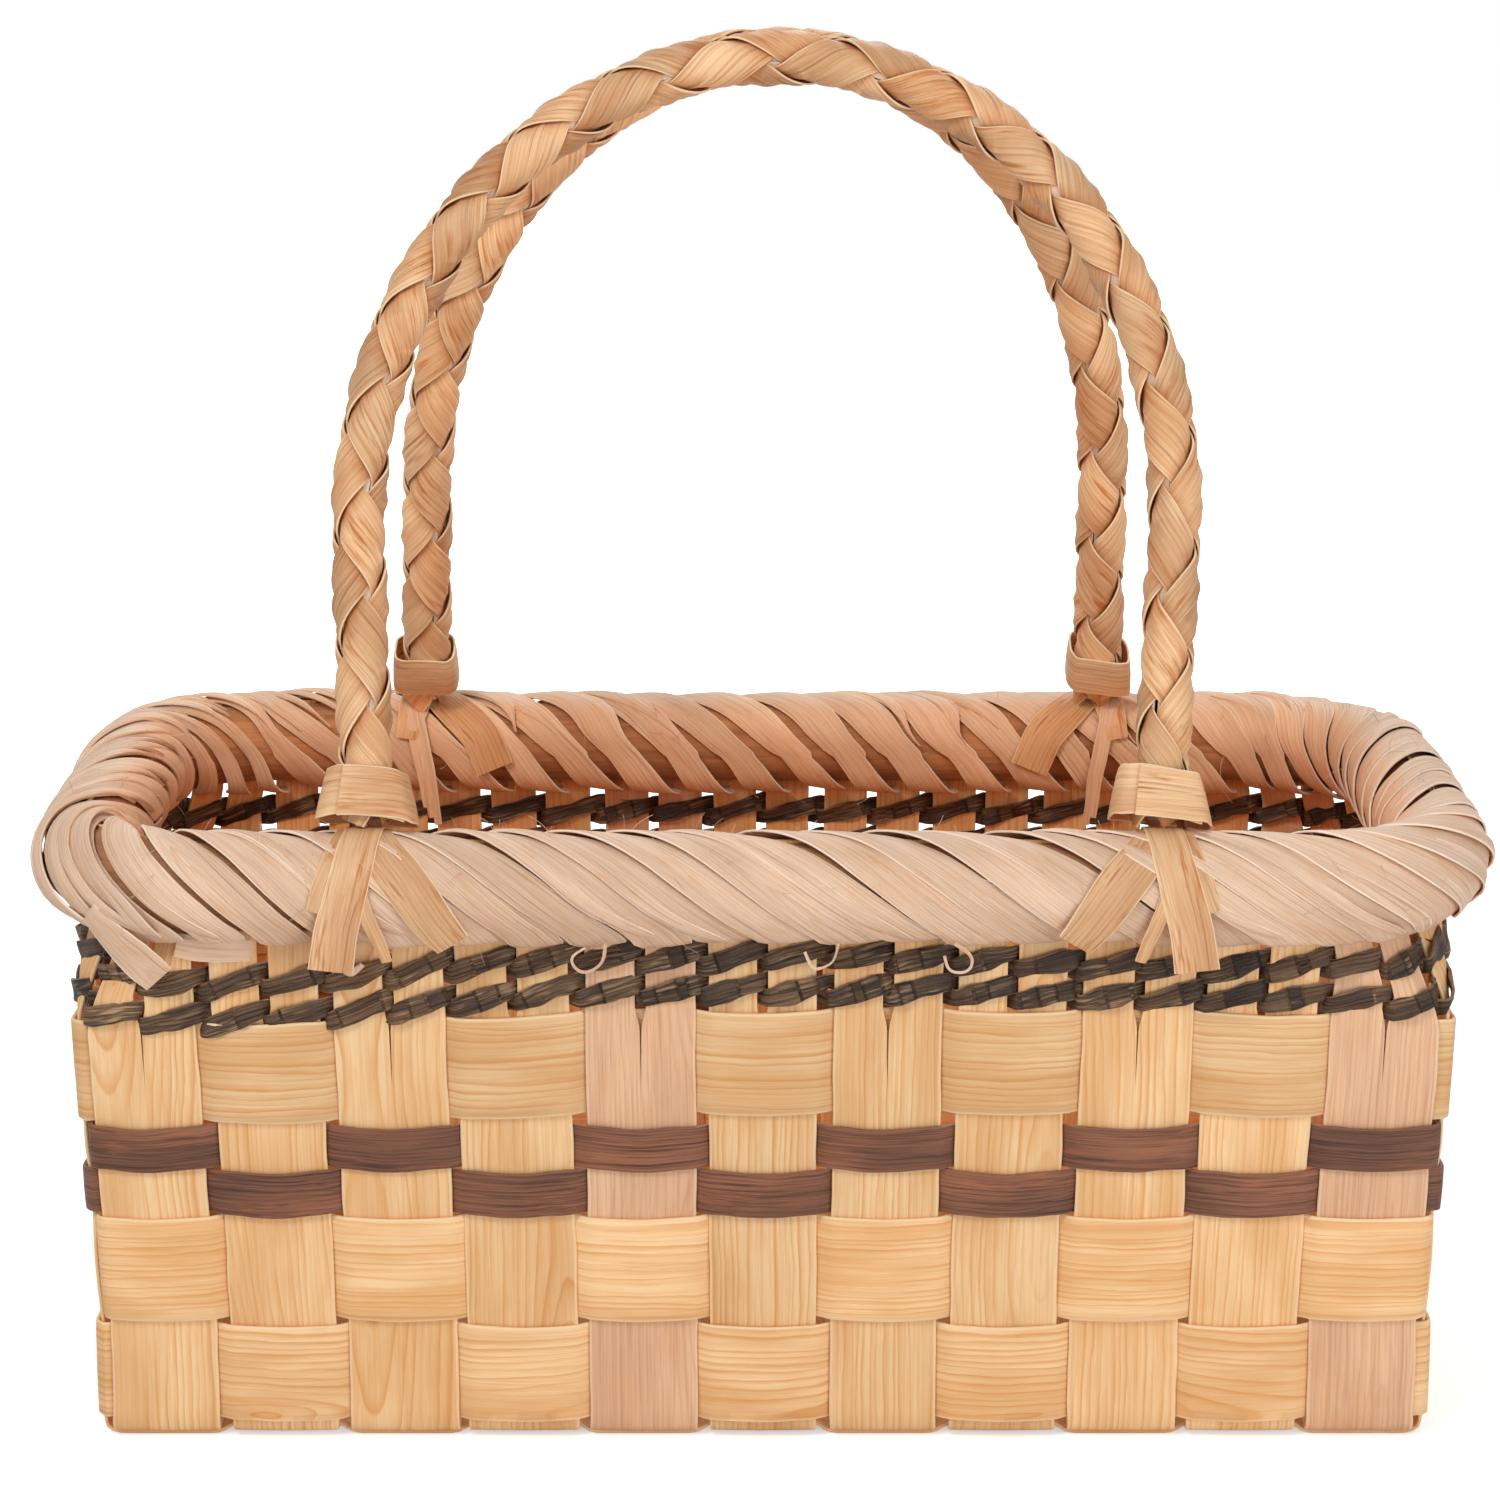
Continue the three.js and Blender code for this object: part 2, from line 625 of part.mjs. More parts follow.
// A point at a radius and an angle round the handle's middle line.
function aroundHandle(isFront, part, radius, angle, shift) {
  const line = archOf(isFront).line;
  const middle = line.getPointAt(part);
  const tangent = line.getTangentAt(part);
  const normal = vec(-tangent.y, tangent.x, 0);
  const flat = middle.clone();
  flat.addScaledVector(tangent, shift.along);
  flat.addScaledVector(normal, radius * Math.cos(angle) - shift.round * Math.sin(angle));
  const out = radius * Math.sin(angle) + shift.round * Math.cos(angle);
  return handlePoint(isFront, flat.x, flat.y, out);
}

const NO_SHIFT = { along: 0, round: 0 };

function handleCore(isFront) {
  const sections = [];
  for (let k = 0; k <= CORE_STEPS; k++) {
    const section = [];
    for (let side = 0; side < CORE_SIDES; side++) {
      const angle = side / CORE_SIDES * 2 * Math.PI;
      section.push(aroundHandle(isFront, k / CORE_STEPS, CORE_RADIUS, angle, NO_SHIFT));
    }
    sections.push(section);
  }
  return barThrough(sections, false);
}

// One of the four strands braided round the core. Two turn one way and two the other, and they take turns in
// passing over. A strand is flat outside and has a ridge inside.
function braidStrand(isFront, turn, startAngle) {
  const length = archOf(isFront).line.getLength();
  const crossings = 4 * BRAID_TURNS;
  const spacing = length / crossings;
  const slope = Math.atan2(2 * Math.PI * STRAND_OVER, 4 * spacing);
  const sections = [];
  for (let m = 0; m <= crossings; m++) {
    const isOver = (m % 2 === 0) === (turn > 0);
    const radius = isOver ? STRAND_OVER : STRAND_UNDER;
    for (const reach of [-CROSSING_REACH, CROSSING_REACH]) {
      const place = m * spacing + reach;
      if (place < -FIT || place > length + FIT) {
        continue;
      }
      const part = THREE.MathUtils.clamp(place / length, 0, 1);
      const isEnd = Math.min(place, length - place) < 1.5 * CROSSING_REACH;
      const angle = startAngle + turn * place / spacing * Math.PI / 2;
      const half = STRAND_WIDTH / 2;
      const along = isEnd ? 0 : half * Math.sin(slope);
      const round = -turn * half * Math.cos(slope);
      sections.push([
        aroundHandle(isFront, part, radius + STRAND_OUT, angle, { along, round }),
        aroundHandle(isFront, part, radius + STRAND_OUT, angle, { along: -along, round: -round }),
        aroundHandle(isFront, part, radius - STRAND_IN, angle, NO_SHIFT),
      ]);
    }
  }
  return barThrough(sections, false);
}

// The band folded round the foot of a handle's leg.
function collar(isFront, sign) {
  const inner = BRAID_RADIUS + FIT + STRAND_OUT;
  const foot = sign * archOf(isFront).legAtRim;
  const sections = [];
  for (const [u, w] of [[-1, -1], [1, -1], [1, 1], [-1, 1]]) {
    const corner = (halfWidth, halfDeep, up) => {
      return handlePoint(isFront, foot + sideLean(up) + u * halfWidth, up, w * halfDeep);
    };
    const top = FOOT_START + COLLAR_HEIGHT;
    sections.push([
      corner(COLLAR_BOTTOM_HALF_WIDTH - COLLAR_WALL, inner, FOOT_START),
      corner(COLLAR_BOTTOM_HALF_WIDTH, inner + COLLAR_WALL, FOOT_START),
      corner(COLLAR_TOP_HALF_WIDTH, inner + COLLAR_WALL, top),
      corner(COLLAR_TOP_HALF_WIDTH - COLLAR_WALL, inner, top),
    ]);
  }
  return barThrough(sections, true);
}

// A strand's end that lies over the rim under a handle's foot. It starts on one side of the foot, runs under
// it and down the other side of the rim, and its last stretch hangs straight.
function tail(isFront, sign, innerRadius, startShift, endShift) {
  const side = isFront ? FRONT : BACK;
  const foot = (isFront ? 1 : -1) * sign * archOf(isFront).legAtRim;
  const start = isFront ? TAIL_START : Math.PI - TAIL_START;
  const turn = isFront ? -TAIL_TURN : TAIL_TURN;
  const corners = (along, radius, angle, drop) => {
    const point = onRim(side, along, radius, angle);
    point.z -= drop;
    return point;
  };
  const sections = [];
  for (let k = 0; k <= TAIL_STEPS + 1; k++) {
    const angle = start + turn * Math.min(k, TAIL_STEPS) / TAIL_STEPS;
    const drop = k > TAIL_STEPS ? TAIL_HANG : 0;
    const middle = foot + THREE.MathUtils.lerp(startShift, endShift, k / (TAIL_STEPS + 1));
    const low = middle - TAIL_WIDTH / 2;
    const high = middle + TAIL_WIDTH / 2;
    sections.push([
      corners(low, innerRadius, angle, drop),
      corners(high, innerRadius, angle, drop),
      corners(high, innerRadius + TAIL_THICKNESS, angle, drop),
      corners(low, innerRadius + TAIL_THICKNESS, angle, drop),
    ]);
  }
  return barThrough(sections, false);
}

function addBody() {
  const pinkStakes = [4, 10];
  for (let i = 0; i < CROSS_COUNT; i++) {
    addPiece(`cross_stake_${i + 1}`, crossStake(i), pinkStakes.includes(i) ? "pinkSplint" : "splint");
  }
  for (let j = 0; j < LONG_COUNT; j++) {
    addPiece(`long_stake_${j + 1}`, longStake(j), "splint");
  }
  addPiece("wide_weaver_1", weaver(WEAVER_1_LOW, WEAVER_1_WIDTH, false), "splint");
  addPiece("wide_weaver_2", weaver(WEAVER_2_LOW, WEAVER_2_WIDTH, true), "splint");
  addPiece("brown_weaver_1", weaver(BROWN_1_LOW, BROWN_1_WIDTH, false), "brown");
  addPiece("brown_weaver_2", weaver(BROWN_2_LOW, BROWN_2_WIDTH, true), "brown");
  addPiece("wide_weaver_3", weaver(WEAVER_3_LOW, WEAVER_3_WIDTH, false), "splint");
  for (let row = 0; row < 2; row++) {
    const height = TWINE_LOW + row * TWINE_ROW_PITCH;
    addPiece(`bark_twine_${row + 1}a`, twineStrand(height, true), "bark");
    addPiece(`bark_twine_${row + 1}b`, twineStrand(height, false), "bark");
  }
}

function addRim() {
  addPiece("rim_hoop_outer", hoop(true), "hoop");
  addPiece("rim_hoop_inner", hoop(false), "hoop");
  let least = Infinity;
  for (let strip = 0; strip < WRAP_STRIPS; strip++) {
    const sections = wrapStrip(strip);
    least = Math.min(least, leastGap(sections));
    addPiece(`rim_wrap_${strip + 1}`, barThrough(sections, false), "bast");
  }
  console.log(`least gap of a rim wrapping strip to itself: ${least.toFixed(2)} mm`);
}

function addHandle(isFront) {
  const name = isFront ? "front" : "back";
  addPiece(`${name}_handle_core`, handleCore(isFront), "bast");
  let strand = 1;
  for (const turn of [1, -1]) {
    for (const startAngle of [0, Math.PI]) {
      addPiece(`${name}_braid_strand_${strand}`, braidStrand(isFront, turn, startAngle), "braid");
      strand += 1;
    }
  }
  for (const [place, sign] of [["left", -1], ["right", 1]]) {
    addPiece(`${name}_${place}_collar`, collar(isFront, sign), "braid");
    const outwards = isFront ? sign : -sign;
    const over = tail(isFront, sign, OVER_TAIL_INNER, 0, outwards * OVER_TAIL_SHIFT);
    const under = tail(isFront, sign, UNDER_TAIL_INNER, 0, -outwards * UNDER_TAIL_SHIFT);
    addPiece(`${name}_${place}_over_tail`, over, "braid");
    addPiece(`${name}_${place}_under_tail`, under, "braid");
  }
}

addBody();
addRim();
addHandle(true);
addHandle(false);

export default basket;
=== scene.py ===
import json
import math
from functools import cache, partialmethod

import bmesh
import bpy
import numpy as np
from bpy.props import FloatProperty, FloatVectorProperty, IntProperty, PointerProperty
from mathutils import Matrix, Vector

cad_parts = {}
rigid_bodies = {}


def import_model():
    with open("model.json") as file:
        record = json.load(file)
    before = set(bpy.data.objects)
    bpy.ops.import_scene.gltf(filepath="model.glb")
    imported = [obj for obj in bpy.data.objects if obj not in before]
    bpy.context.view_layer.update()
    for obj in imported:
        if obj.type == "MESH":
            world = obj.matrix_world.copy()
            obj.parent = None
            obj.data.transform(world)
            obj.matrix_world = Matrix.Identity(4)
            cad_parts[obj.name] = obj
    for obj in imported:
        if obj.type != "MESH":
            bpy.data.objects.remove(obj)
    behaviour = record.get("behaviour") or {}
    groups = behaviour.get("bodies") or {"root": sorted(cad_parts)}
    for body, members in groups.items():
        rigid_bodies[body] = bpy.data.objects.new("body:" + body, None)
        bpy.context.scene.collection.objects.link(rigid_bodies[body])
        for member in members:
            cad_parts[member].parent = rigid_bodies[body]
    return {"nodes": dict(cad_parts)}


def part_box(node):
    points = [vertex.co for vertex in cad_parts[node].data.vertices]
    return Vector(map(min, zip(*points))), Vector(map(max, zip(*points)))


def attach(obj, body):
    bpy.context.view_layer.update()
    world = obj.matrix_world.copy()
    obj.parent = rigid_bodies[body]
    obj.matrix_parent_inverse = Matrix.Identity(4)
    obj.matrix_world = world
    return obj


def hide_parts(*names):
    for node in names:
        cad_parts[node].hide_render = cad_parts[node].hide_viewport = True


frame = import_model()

bl_info = {
    "name": "Woven Picnic Basket",
    "version": (1, 0, 0),
    "blender": (4, 5, 0),
    "location": "View3D > Sidebar > Basket",
    "description": "Weaves a splint picnic basket with a wrapped rim and two braided handles",
    "category": "Add Mesh",
}

MM = 0.001  # a millimetre in metres
FRONT, RIGHT, BACK, LEFT = range(4)


# Sizes read from the frame, in millimetres

def box_mm(node):
    return [np.array(corner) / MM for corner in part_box(node)]


HOOP_LOW, HOOP_HIGH = box_mm("rim_hoop_outer")
HOOP_RADIUS = (HOOP_HIGH[2] - HOOP_LOW[2]) / 2
RIM_HEIGHT = (HOOP_HIGH[2] + HOOP_LOW[2]) / 2
RIM_HALF = (HOOP_HIGH[0] - HOOP_RADIUS, HOOP_HIGH[1] - HOOP_RADIUS)
STAKE_HIGH = box_mm("cross_stake_6")[1]
STAKE_WIDTH = 2 * STAKE_HIGH[0]
STAKE_TOP = STAKE_HIGH[2]
PITCH = box_mm("cross_stake_7")[0][0] + STAKE_WIDTH / 2
CROSS_COUNT = sum(name.startswith("cross_stake_") for name in frame["nodes"])
LONG_COUNT = sum(name.startswith("long_stake_") for name in frame["nodes"])

# Sizes of the basket's construction that the frame's boxes don't show, in millimetres
SPLINT = 1.0
FLARE, FLARE_START, FLARE_END = 4.0, 30.0, 127.2
ROUND_FROM, ROUND_TO = 104.0, 134.0
CORNER_RADIUS, RIM_CORNER = 3.5, 35.0
BASE_HEIGHT, BASE_BEND, BASE_STRIP_WIDTH = 1.8, 3.0, 25.5
SLIT_START, SLIT_MIDDLE, SLIT_END = 92.0, 108.0, 113.0
SLIT_CRACK, SLIT_GAP = 0.45, 2.7
HOOP_CHANNEL, HOOP_SLACK, HOOP_FACETS = 0.85, 1.2, 10
WRAP_RADIUS, WRAP_STRIPS, WRAP_STEPS = 12.6, 5, 48
HANDLE_TOP, BRAID_INSET, BRAID_TURNS = 337.3, 6.95, 9
LEG_AT_RIM = {"front": 96.0, "back": 92.0}
LEG_AT_ARCH = {"front": 100.0, "back": 90.0}
ARCH_START = {"front": 93.0, "back": 80.0}
ARCH_SIDE_LEAN, FOOT_START = 4.0, 16.5
BRAID_RADIUS, BRAID_OVER, CORE_RADIUS, CORE_STRIPS = 5.05, 1.15, 4.2, 8

BASE_HALF = (RIM_HALF[0] - FLARE, RIM_HALF[1] - FLARE)
HALF_PITCH = PITCH / 2
COUNTS = np.array([CROSS_COUNT, LONG_COUNT] * 2)
FIRST_STAKES = np.cumsum(COUNTS) - COUNTS
FIRST_GAPS = 2 * FIRST_STAKES
GAP_COUNT = 2 * int(COUNTS.sum())
HANDLE_INSET = RIM_HALF[1] - BRAID_INSET
HANDLE_REACH = math.hypot(HANDLE_INSET, HANDLE_TOP - RIM_HEIGHT)
HANDLE_LEAN = math.atan2(HANDLE_INSET, HANDLE_TOP - RIM_HEIGHT)


# What a user would change

def linear(*screen):
    """A colour as it looks on screen, from 0 to 255, made the linear colour that materials take."""
    parts = [value / 255 for value in screen]
    return tuple(p / 12.92 if p <= 0.04045 else ((p + 0.055) / 1.055) ** 2.4 for p in parts)


def size_property(name, millimetres, description):
    return FloatProperty(name=name, description=description, default=millimetres * MM, unit="LENGTH",
                         precision=4)


def colour_property(name, screen, description):
    return FloatVectorProperty(name=name, description=description, default=linear(*screen),
                               subtype="COLOR")


class BasketSizes(bpy.types.PropertyGroup):
    """Sizes of the woven pieces that a user would change"""
    weave_depth: size_property("Weave depth", 1.5, "How far a weaver's middle stands out from the stakes")
    stake_give: size_property("Stake give", 0.35, "How far the weavers push each stake in and out")
    wrap_width: size_property("Wrapping width", 14.3, "Width of the wrapping strips, along the rim")
    wrap_thickness: size_property("Wrapping thickness", 0.55, "Thickness of the wrapping strips")
    twine_width: size_property("Twine width", 5.3, "Width of the bark strands")
    strand_width: size_property("Braid strand width", 11.6, "Width of each strand of the braid")
    strand_thickness: size_property("Braid strand thickness", 0.55, "Thickness of each braided strand")
    fibre_density: FloatProperty(name="Loose fibres", default=4500.0, min=0.0,
                                 description="Loose fibres on each square metre of the wrapping")
    seed: IntProperty(name="Seed", description="Changes every random draw", default=7)


class BasketColours(bpy.types.PropertyGroup):
    """Colours of the basket's finishes"""
    pale_splint: colour_property("Pale splint", (230, 184, 131), "Ground of the pale wood splints")
    splint_line: colour_property("Grain line", (214, 144, 74), "Late wood lines in the pale splints")
    pink_splint: colour_property("Pink splint", (224, 178, 141), "Ground of the pinker stakes")
    brown_splint: colour_property("Brown splint", (122, 80, 60), "Ground of the dyed narrow weavers")
    dark_bark: colour_property("Bark", (72, 52, 40), "Ground of the twined bark")
    rim_bast: colour_property("Rim bast", (224, 190, 162), "Ground of the rim's wrapping")
    braid_bast: colour_property("Braid bast", (212, 162, 116), "Ground of the braid, collars and tails")
    hoop_wood: colour_property("Hoop wood", (186, 130, 88), "Ground of the hoops inside the rim")


def sizes():
    return bpy.context.scene.basket_sizes


def draws(number):
    """Random draws that belong to one part of the basket."""
    return np.random.default_rng([number, sizes().seed])


# Node trees from plain formulas

class Field:
    """A socket that takes part in formulas: each sum or product adds a math node to its tree."""

    def __init__(self, nodes, socket):
        self.nodes = nodes
        self.socket = socket

    def join(self, operation, other, swapped=False):
        pair = (other, self) if swapped else (self, other)
        vectors = [isinstance(value, Field) and value.socket.type == "VECTOR" for value in pair]
        if operation == "MULTIPLY" and sum(vectors) == 1:
            vector, scale = pair if vectors[0] else pair[::-1]
            return self.nodes.vector("SCALE", vector, Scale=scale)
        return (self.nodes.vector if any(vectors) else self.nodes.math)(operation, *pair)

    __add__ = partialmethod(join, "ADD")
    __sub__ = partialmethod(join, "SUBTRACT")
    __rsub__ = partialmethod(join, "SUBTRACT", swapped=True)
    __mul__ = partialmethod(join, "MULTIPLY")
    __truediv__ = partialmethod(join, "DIVIDE")
    __pow__ = partialmethod(join, "POWER")


class Nodes:
    """Adds nodes to one tree."""

    def __init__(self, tree):
        self.tree = tree

    def feed(self, socket, value):
        if isinstance(value, Field):
            self.tree.links.new(value.socket, socket)
        else:
            socket.default_value = value

    def add(self, kind, inputs=None, **settings):
        node = self.tree.nodes.new(kind)
        for name, value in settings.items():
            setattr(node, name, value)
        for name, value in (inputs or {}).items():
            self.feed(node.inputs[name], value)
        return node

    def outs(self, kind, names, inputs=None, **settings):
        node = self.add(kind, inputs, **settings)
        return [Field(self, node.outputs[name]) for name in names]

    def out(self, kind, inputs=None, output=0, **settings):
        return self.outs(kind, [output], inputs, **settings)[0]

    def math(self, operation, *values):
        return self.out("ShaderNodeMath", dict(enumerate(values)), operation=operation)

    def vector(self, operation, *values, **named):
        output = "Value" if operation in ("DOT_PRODUCT", "LENGTH") else "Vector"
        return self.out("ShaderNodeVectorMath", {**dict(enumerate(values)), **named}, output,
                        operation=operation)

    def combine(self, x, y, z):
        return self.out("ShaderNodeCombineXYZ", {"X": x, "Y": y, "Z": z})

    def noise(self, x, y, z, detail=2.0, roughness=0.5):
        return self.out("ShaderNodeTexNoise", {
            "Vector": self.combine(x, y, z), "Scale": 1.0, "Detail": detail, "Roughness": roughness}, "Fac")

    def ramp(self, value, low, high):
        """0 at low and 1 at high, with a smooth step between."""
        return self.out("ShaderNodeMapRange", {
            "Value": value, "From Min": low, "From Max": high}, interpolation_type="SMOOTHSTEP")

    def mix(self, factor, first, second, blend="MIX"):
        node = self.add("ShaderNodeMix", data_type="RGBA", blend_type=blend)
        for socket, value in zip([s for s in node.inputs if s.enabled], (factor, first, second)):
            self.feed(socket, (*value, 1.0) if isinstance(value, tuple) else value)
        return Field(self, [s for s in node.outputs if s.enabled][0])

    def attribute(self, name):
        return self.out("ShaderNodeAttribute", {}, "Fac", attribute_name=name)

    def store(self, geometry, name, value, kind="FLOAT", domain="POINT"):
        return self.out("GeometryNodeStoreNamedAttribute", {
            "Geometry": geometry, "Name": name, "Value": value}, data_type=kind, domain=domain)

    def stored(self, name, kind="FLOAT"):
        return self.out("GeometryNodeInputNamedAttribute", {"Name": name}, data_type=kind)

    def finished(self, end, geometry, material):
        """Ends a geometry tree: real faces with their material."""
        real = self.out("GeometryNodeRealizeInstances", {"Geometry": geometry})
        self.feed(end.inputs[0], self.out("GeometryNodeSetMaterial", {
            "Geometry": real, "Material": material}))
        return self.tree


def new_group(name, kind, inputs, outputs):
    """A node group, as (Nodes, {input's name: Field}, output node). An input is given by the name of its
    kind of socket, or by its default number."""
    tree = bpy.data.node_groups.new(name, kind)
    for label, given in inputs.items():
        word = given if isinstance(given, str) else {float: "Float", int: "Int"}[type(given)]
        socket = tree.interface.new_socket(label, in_out="INPUT", socket_type="NodeSocket" + word)
        if word != given:
            socket.default_value = given
    for label, word in outputs.items():
        tree.interface.new_socket(label, in_out="OUTPUT", socket_type="NodeSocket" + word)
    nodes = Nodes(tree)
    entry = nodes.add("NodeGroupInput")
    fields = {socket.name: Field(nodes, socket) for socket in entry.outputs if socket.name}
    return nodes, fields, nodes.add("NodeGroupOutput")


def emptied(holder):
    """The node tree of a new material or world, without its first nodes."""
    holder.use_nodes = True
    holder.node_tree.nodes.clear()
    return Nodes(holder.node_tree)


@cache
def tree_of(build):
    """Each tree is built once."""
    return build()


# The strip trees: a flat strip that follows a path

STRIP_POINTS = 7


def strip_section(nodes):
    """Across from -1 to 1 and out from -1 to 1, for each point of a strip's closed section."""
    ring = nodes.stored("ring")
    is_back = nodes.math("GREATER_THAN", ring, STRIP_POINTS - 0.5)
    place = ring + is_back * (ring * -2.0 + (STRIP_POINTS * 2.0 - 1.0))
    turn = (place / (STRIP_POINTS - 1.0) * 2.0 - 1.0) * (math.pi / 2)
    across = nodes.math("SINE", nodes.math("SINE", turn) * (math.pi / 2))
    depth = nodes.math("SQRT", nodes.math("MAXIMUM", 1.0 - across * across, 0.0))
    return across, nodes.math("MINIMUM", depth * 6.0 + 0.35, 1.0) * (1.0 - is_back * 2.0)


def strip_body(nodes, line):
    """A closed tube round the line, whose points still have to be moved to their places."""
    circle = nodes.out("GeometryNodeCurvePrimitiveCircle", {"Resolution": 2 * STRIP_POINTS, "Radius": MM})
    section = nodes.store(circle, "ring", nodes.out("GeometryNodeInputIndex"))
    return nodes.out("GeometryNodeCurveToMesh", {
        "Curve": line, "Profile Curve": section, "Fill Caps": True})


def strip_end(nodes, end, body, place, run, across, half_width, material):
    """Moves the tube's points to their places, and stores what the finish reads."""
    moved = nodes.out("GeometryNodeSetPosition", {"Geometry": body, "Position": place})
    mapped = nodes.store(nodes.store(moved, "across", across), "Grain",
                         nodes.combine(run, across * half_width, 0.0), "FLOAT2", "CORNER")
    return nodes.finished(end, mapped, material)


def strip_tree():
    """Sweeps a flat strip along lines whose points carry its side, face and run."""
    nodes, given, end = new_group("Strip along a path", "GeometryNodeTree", {
        "Path": "Geometry", "Thickness": MM, "Cup": 0.0, "Edge Waver": 0.0, "Surface Waver": 0.0,
        "Waver Length": 0.02, "Seed": 0.0, "Material": "Material"}, {"Strip": "Geometry"})
    body = strip_body(nodes, nodes.out("GeometryNodeMeshToCurve", {"Mesh": given["Path"]}))
    across, out = strip_section(nodes)
    spot, side, face = (nodes.stored(name, "FLOAT_VECTOR") for name in ("spot", "side", "face"))
    run = nodes.stored("run")
    half_width = nodes.vector("LENGTH", side)
    steps = run / given["Waver Length"]
    edge_noise = nodes.noise(steps, across * 2.0, given["Seed"]) - 0.5
    wavered = across * (edge_noise * given["Edge Waver"] * 2.0 / half_width + 1.0)
    bumps = nodes.noise(
        steps, across * half_width / given["Waver Length"] * 1.5, given["Seed"] + 5.0) - 0.5
    lift = (out * given["Thickness"] * 0.5 + given["Cup"] * (1.0 - across * across)
            + bumps * given["Surface Waver"] * 2.0)
    place = spot + side * wavered + face * lift
    return strip_end(nodes, end, body, place, run, across, half_width, given["Material"])


def braid_tree():
    """A braid's strand round a handle's line: it turns one way and takes turns in passing over."""
    nodes, given, end = new_group("Braid strand", "GeometryNodeTree", {
        "Handle Line": "Geometry", "Out Direction": "Vector", "Length": 0.48, "Spacing": 0.0137,
        "Turn": 1.0, "Start Angle": 0.0, "Phase": 0.0, "Radius": 0.0059, "Over and Under": 0.0006,
        "Half Width": 0.0057, "Thickness": 0.00055, "Looseness": 0.0004, "Cup": 0.0003, "Seed": 0.0,
        "Steps": 400, "Material": "Material"}, {"Strand": "Geometry"})
    straight = nodes.out("GeometryNodeCurvePrimitiveLine", {
        "Start": (0.0, 0.0, 0.0), "End": nodes.combine(given["Length"], 0.0, 0.0)})
    line = nodes.out("GeometryNodeResampleCurve", {"Curve": straight, "Count": given["Steps"]})
    body = strip_body(nodes, nodes.store(line, "run", nodes.out("ShaderNodeSeparateXYZ", {
        "Vector": nodes.out("GeometryNodeInputPosition")})))
    across, out = strip_section(nodes)
    run = nodes.stored("run")

    turn, radius, seed = given["Turn"], given["Radius"], given["Seed"]
    rate = nodes.math("DIVIDE", math.pi / 2, given["Spacing"])
    slope = nodes.math("ARCTANGENT", radius * rate)
    wander = nodes.noise(run * 30.0, 0.0, seed) - 0.5
    narrowing = nodes.noise(run * 45.0, 3.0, seed) - 0.5
    off = across * given["Half Width"] * (narrowing * 0.35 + 1.0) + wander * given["Looseness"] * 5.0
    along = run - turn * off * nodes.math("SINE", slope)
    angle = (given["Start Angle"] + given["Phase"] + turn * rate * run
             + off * nodes.math("COSINE", slope) / radius)
    crossing = turn * nodes.math(
        "COSINE", angle + turn * rate * along - given["Start Angle"] - given["Phase"])
    level = nodes.math("TANH", crossing * 1.5) / math.tanh(1.5)
    loose = nodes.noise(run * 60.0, across * 0.7, seed + 9.0)
    reach = (radius + given["Over and Under"] * level + out * given["Thickness"] * 0.5
             + loose * given["Looseness"] + given["Cup"] * (1.0 - across * across))

    # Where the strand passes under its neighbours: partly a painted shade for the shadow there, partly the
    # darker patina of such hollows
    body = nodes.store(body, "sunk", nodes.ramp(level, 0.75, -0.9))
    held = nodes.math("MINIMUM", nodes.math("MAXIMUM", along, 0.0), given["Length"])
    middle, tangent = nodes.outs("GeometryNodeSampleCurve", ("Position", "Tangent"), {
        "Curves": nodes.out("GeometryNodeMeshToCurve", {"Mesh": given["Handle Line"]}),
        "Length": held}, mode="LENGTH", use_all_curves=True, data_type="FLOAT")
    outward = given["Out Direction"]
    inward = nodes.vector("NORMALIZE", nodes.vector("CROSS_PRODUCT", outward, tangent))
    place = (middle + tangent * (along - held) + inward * (reach * nodes.math("COSINE", angle))
             + outward * (reach * nodes.math("SINE", angle)))
    return strip_end(nodes, end, body, place, run, across, given["Half Width"], given["Material"])


def fibre_tree():
    """Scatters fine curved fibres over a surface."""
    nodes, given, end = new_group("Loose fibres", "GeometryNodeTree", {
        "Surface": "Geometry", "Density": 2500.0, "Length": 0.004, "Radius": 0.00005, "Seed": 0,
        "Material": "Material"}, {"Fibres": "Geometry"})
    points, rotation = nodes.outs("GeometryNodeDistributePointsOnFaces", ("Points", "Rotation"), {
        "Mesh": given["Surface"], "Density": given["Density"], "Seed": given["Seed"]})
    arc = nodes.out("GeometryNodeCurveQuadraticBezier", {
        "Resolution": 6, "Start": (0.0, 0.0, 0.0), "Middle": (0.25, 0.0, 0.55), "End": (0.9, 0.1, 0.75)})
    ring = nodes.out("GeometryNodeCurvePrimitiveCircle", {
        "Resolution": 3, "Radius": given["Radius"] / given["Length"]})
    fibre = nodes.out("GeometryNodeCurveToMesh", {
        "Curve": arc, "Profile Curve": ring, "Fill Caps": True})
    spin, size = (
        nodes.out("FunctionNodeRandomValue", {"Min": low, "Max": high, "Seed": seed},
                  data_type="FLOAT_VECTOR")
        for seed, low, high in ((1, (-0.5, -0.6, -math.pi), (0.5, 0.6, math.pi)),
                                (2, (0.3, 0.3, 0.3), (1.5, 1.5, 1.0))))
    placed = nodes.out("GeometryNodeInstanceOnPoints", {
        "Points": points, "Instance": fibre, "Rotation": rotation, "Scale": size * given["Length"]})
    turned_round = nodes.out("GeometryNodeRotateInstances", {"Instances": placed, "Rotation": spin})
    return nodes.finished(end, turned_round, given["Material"])


# Finishes

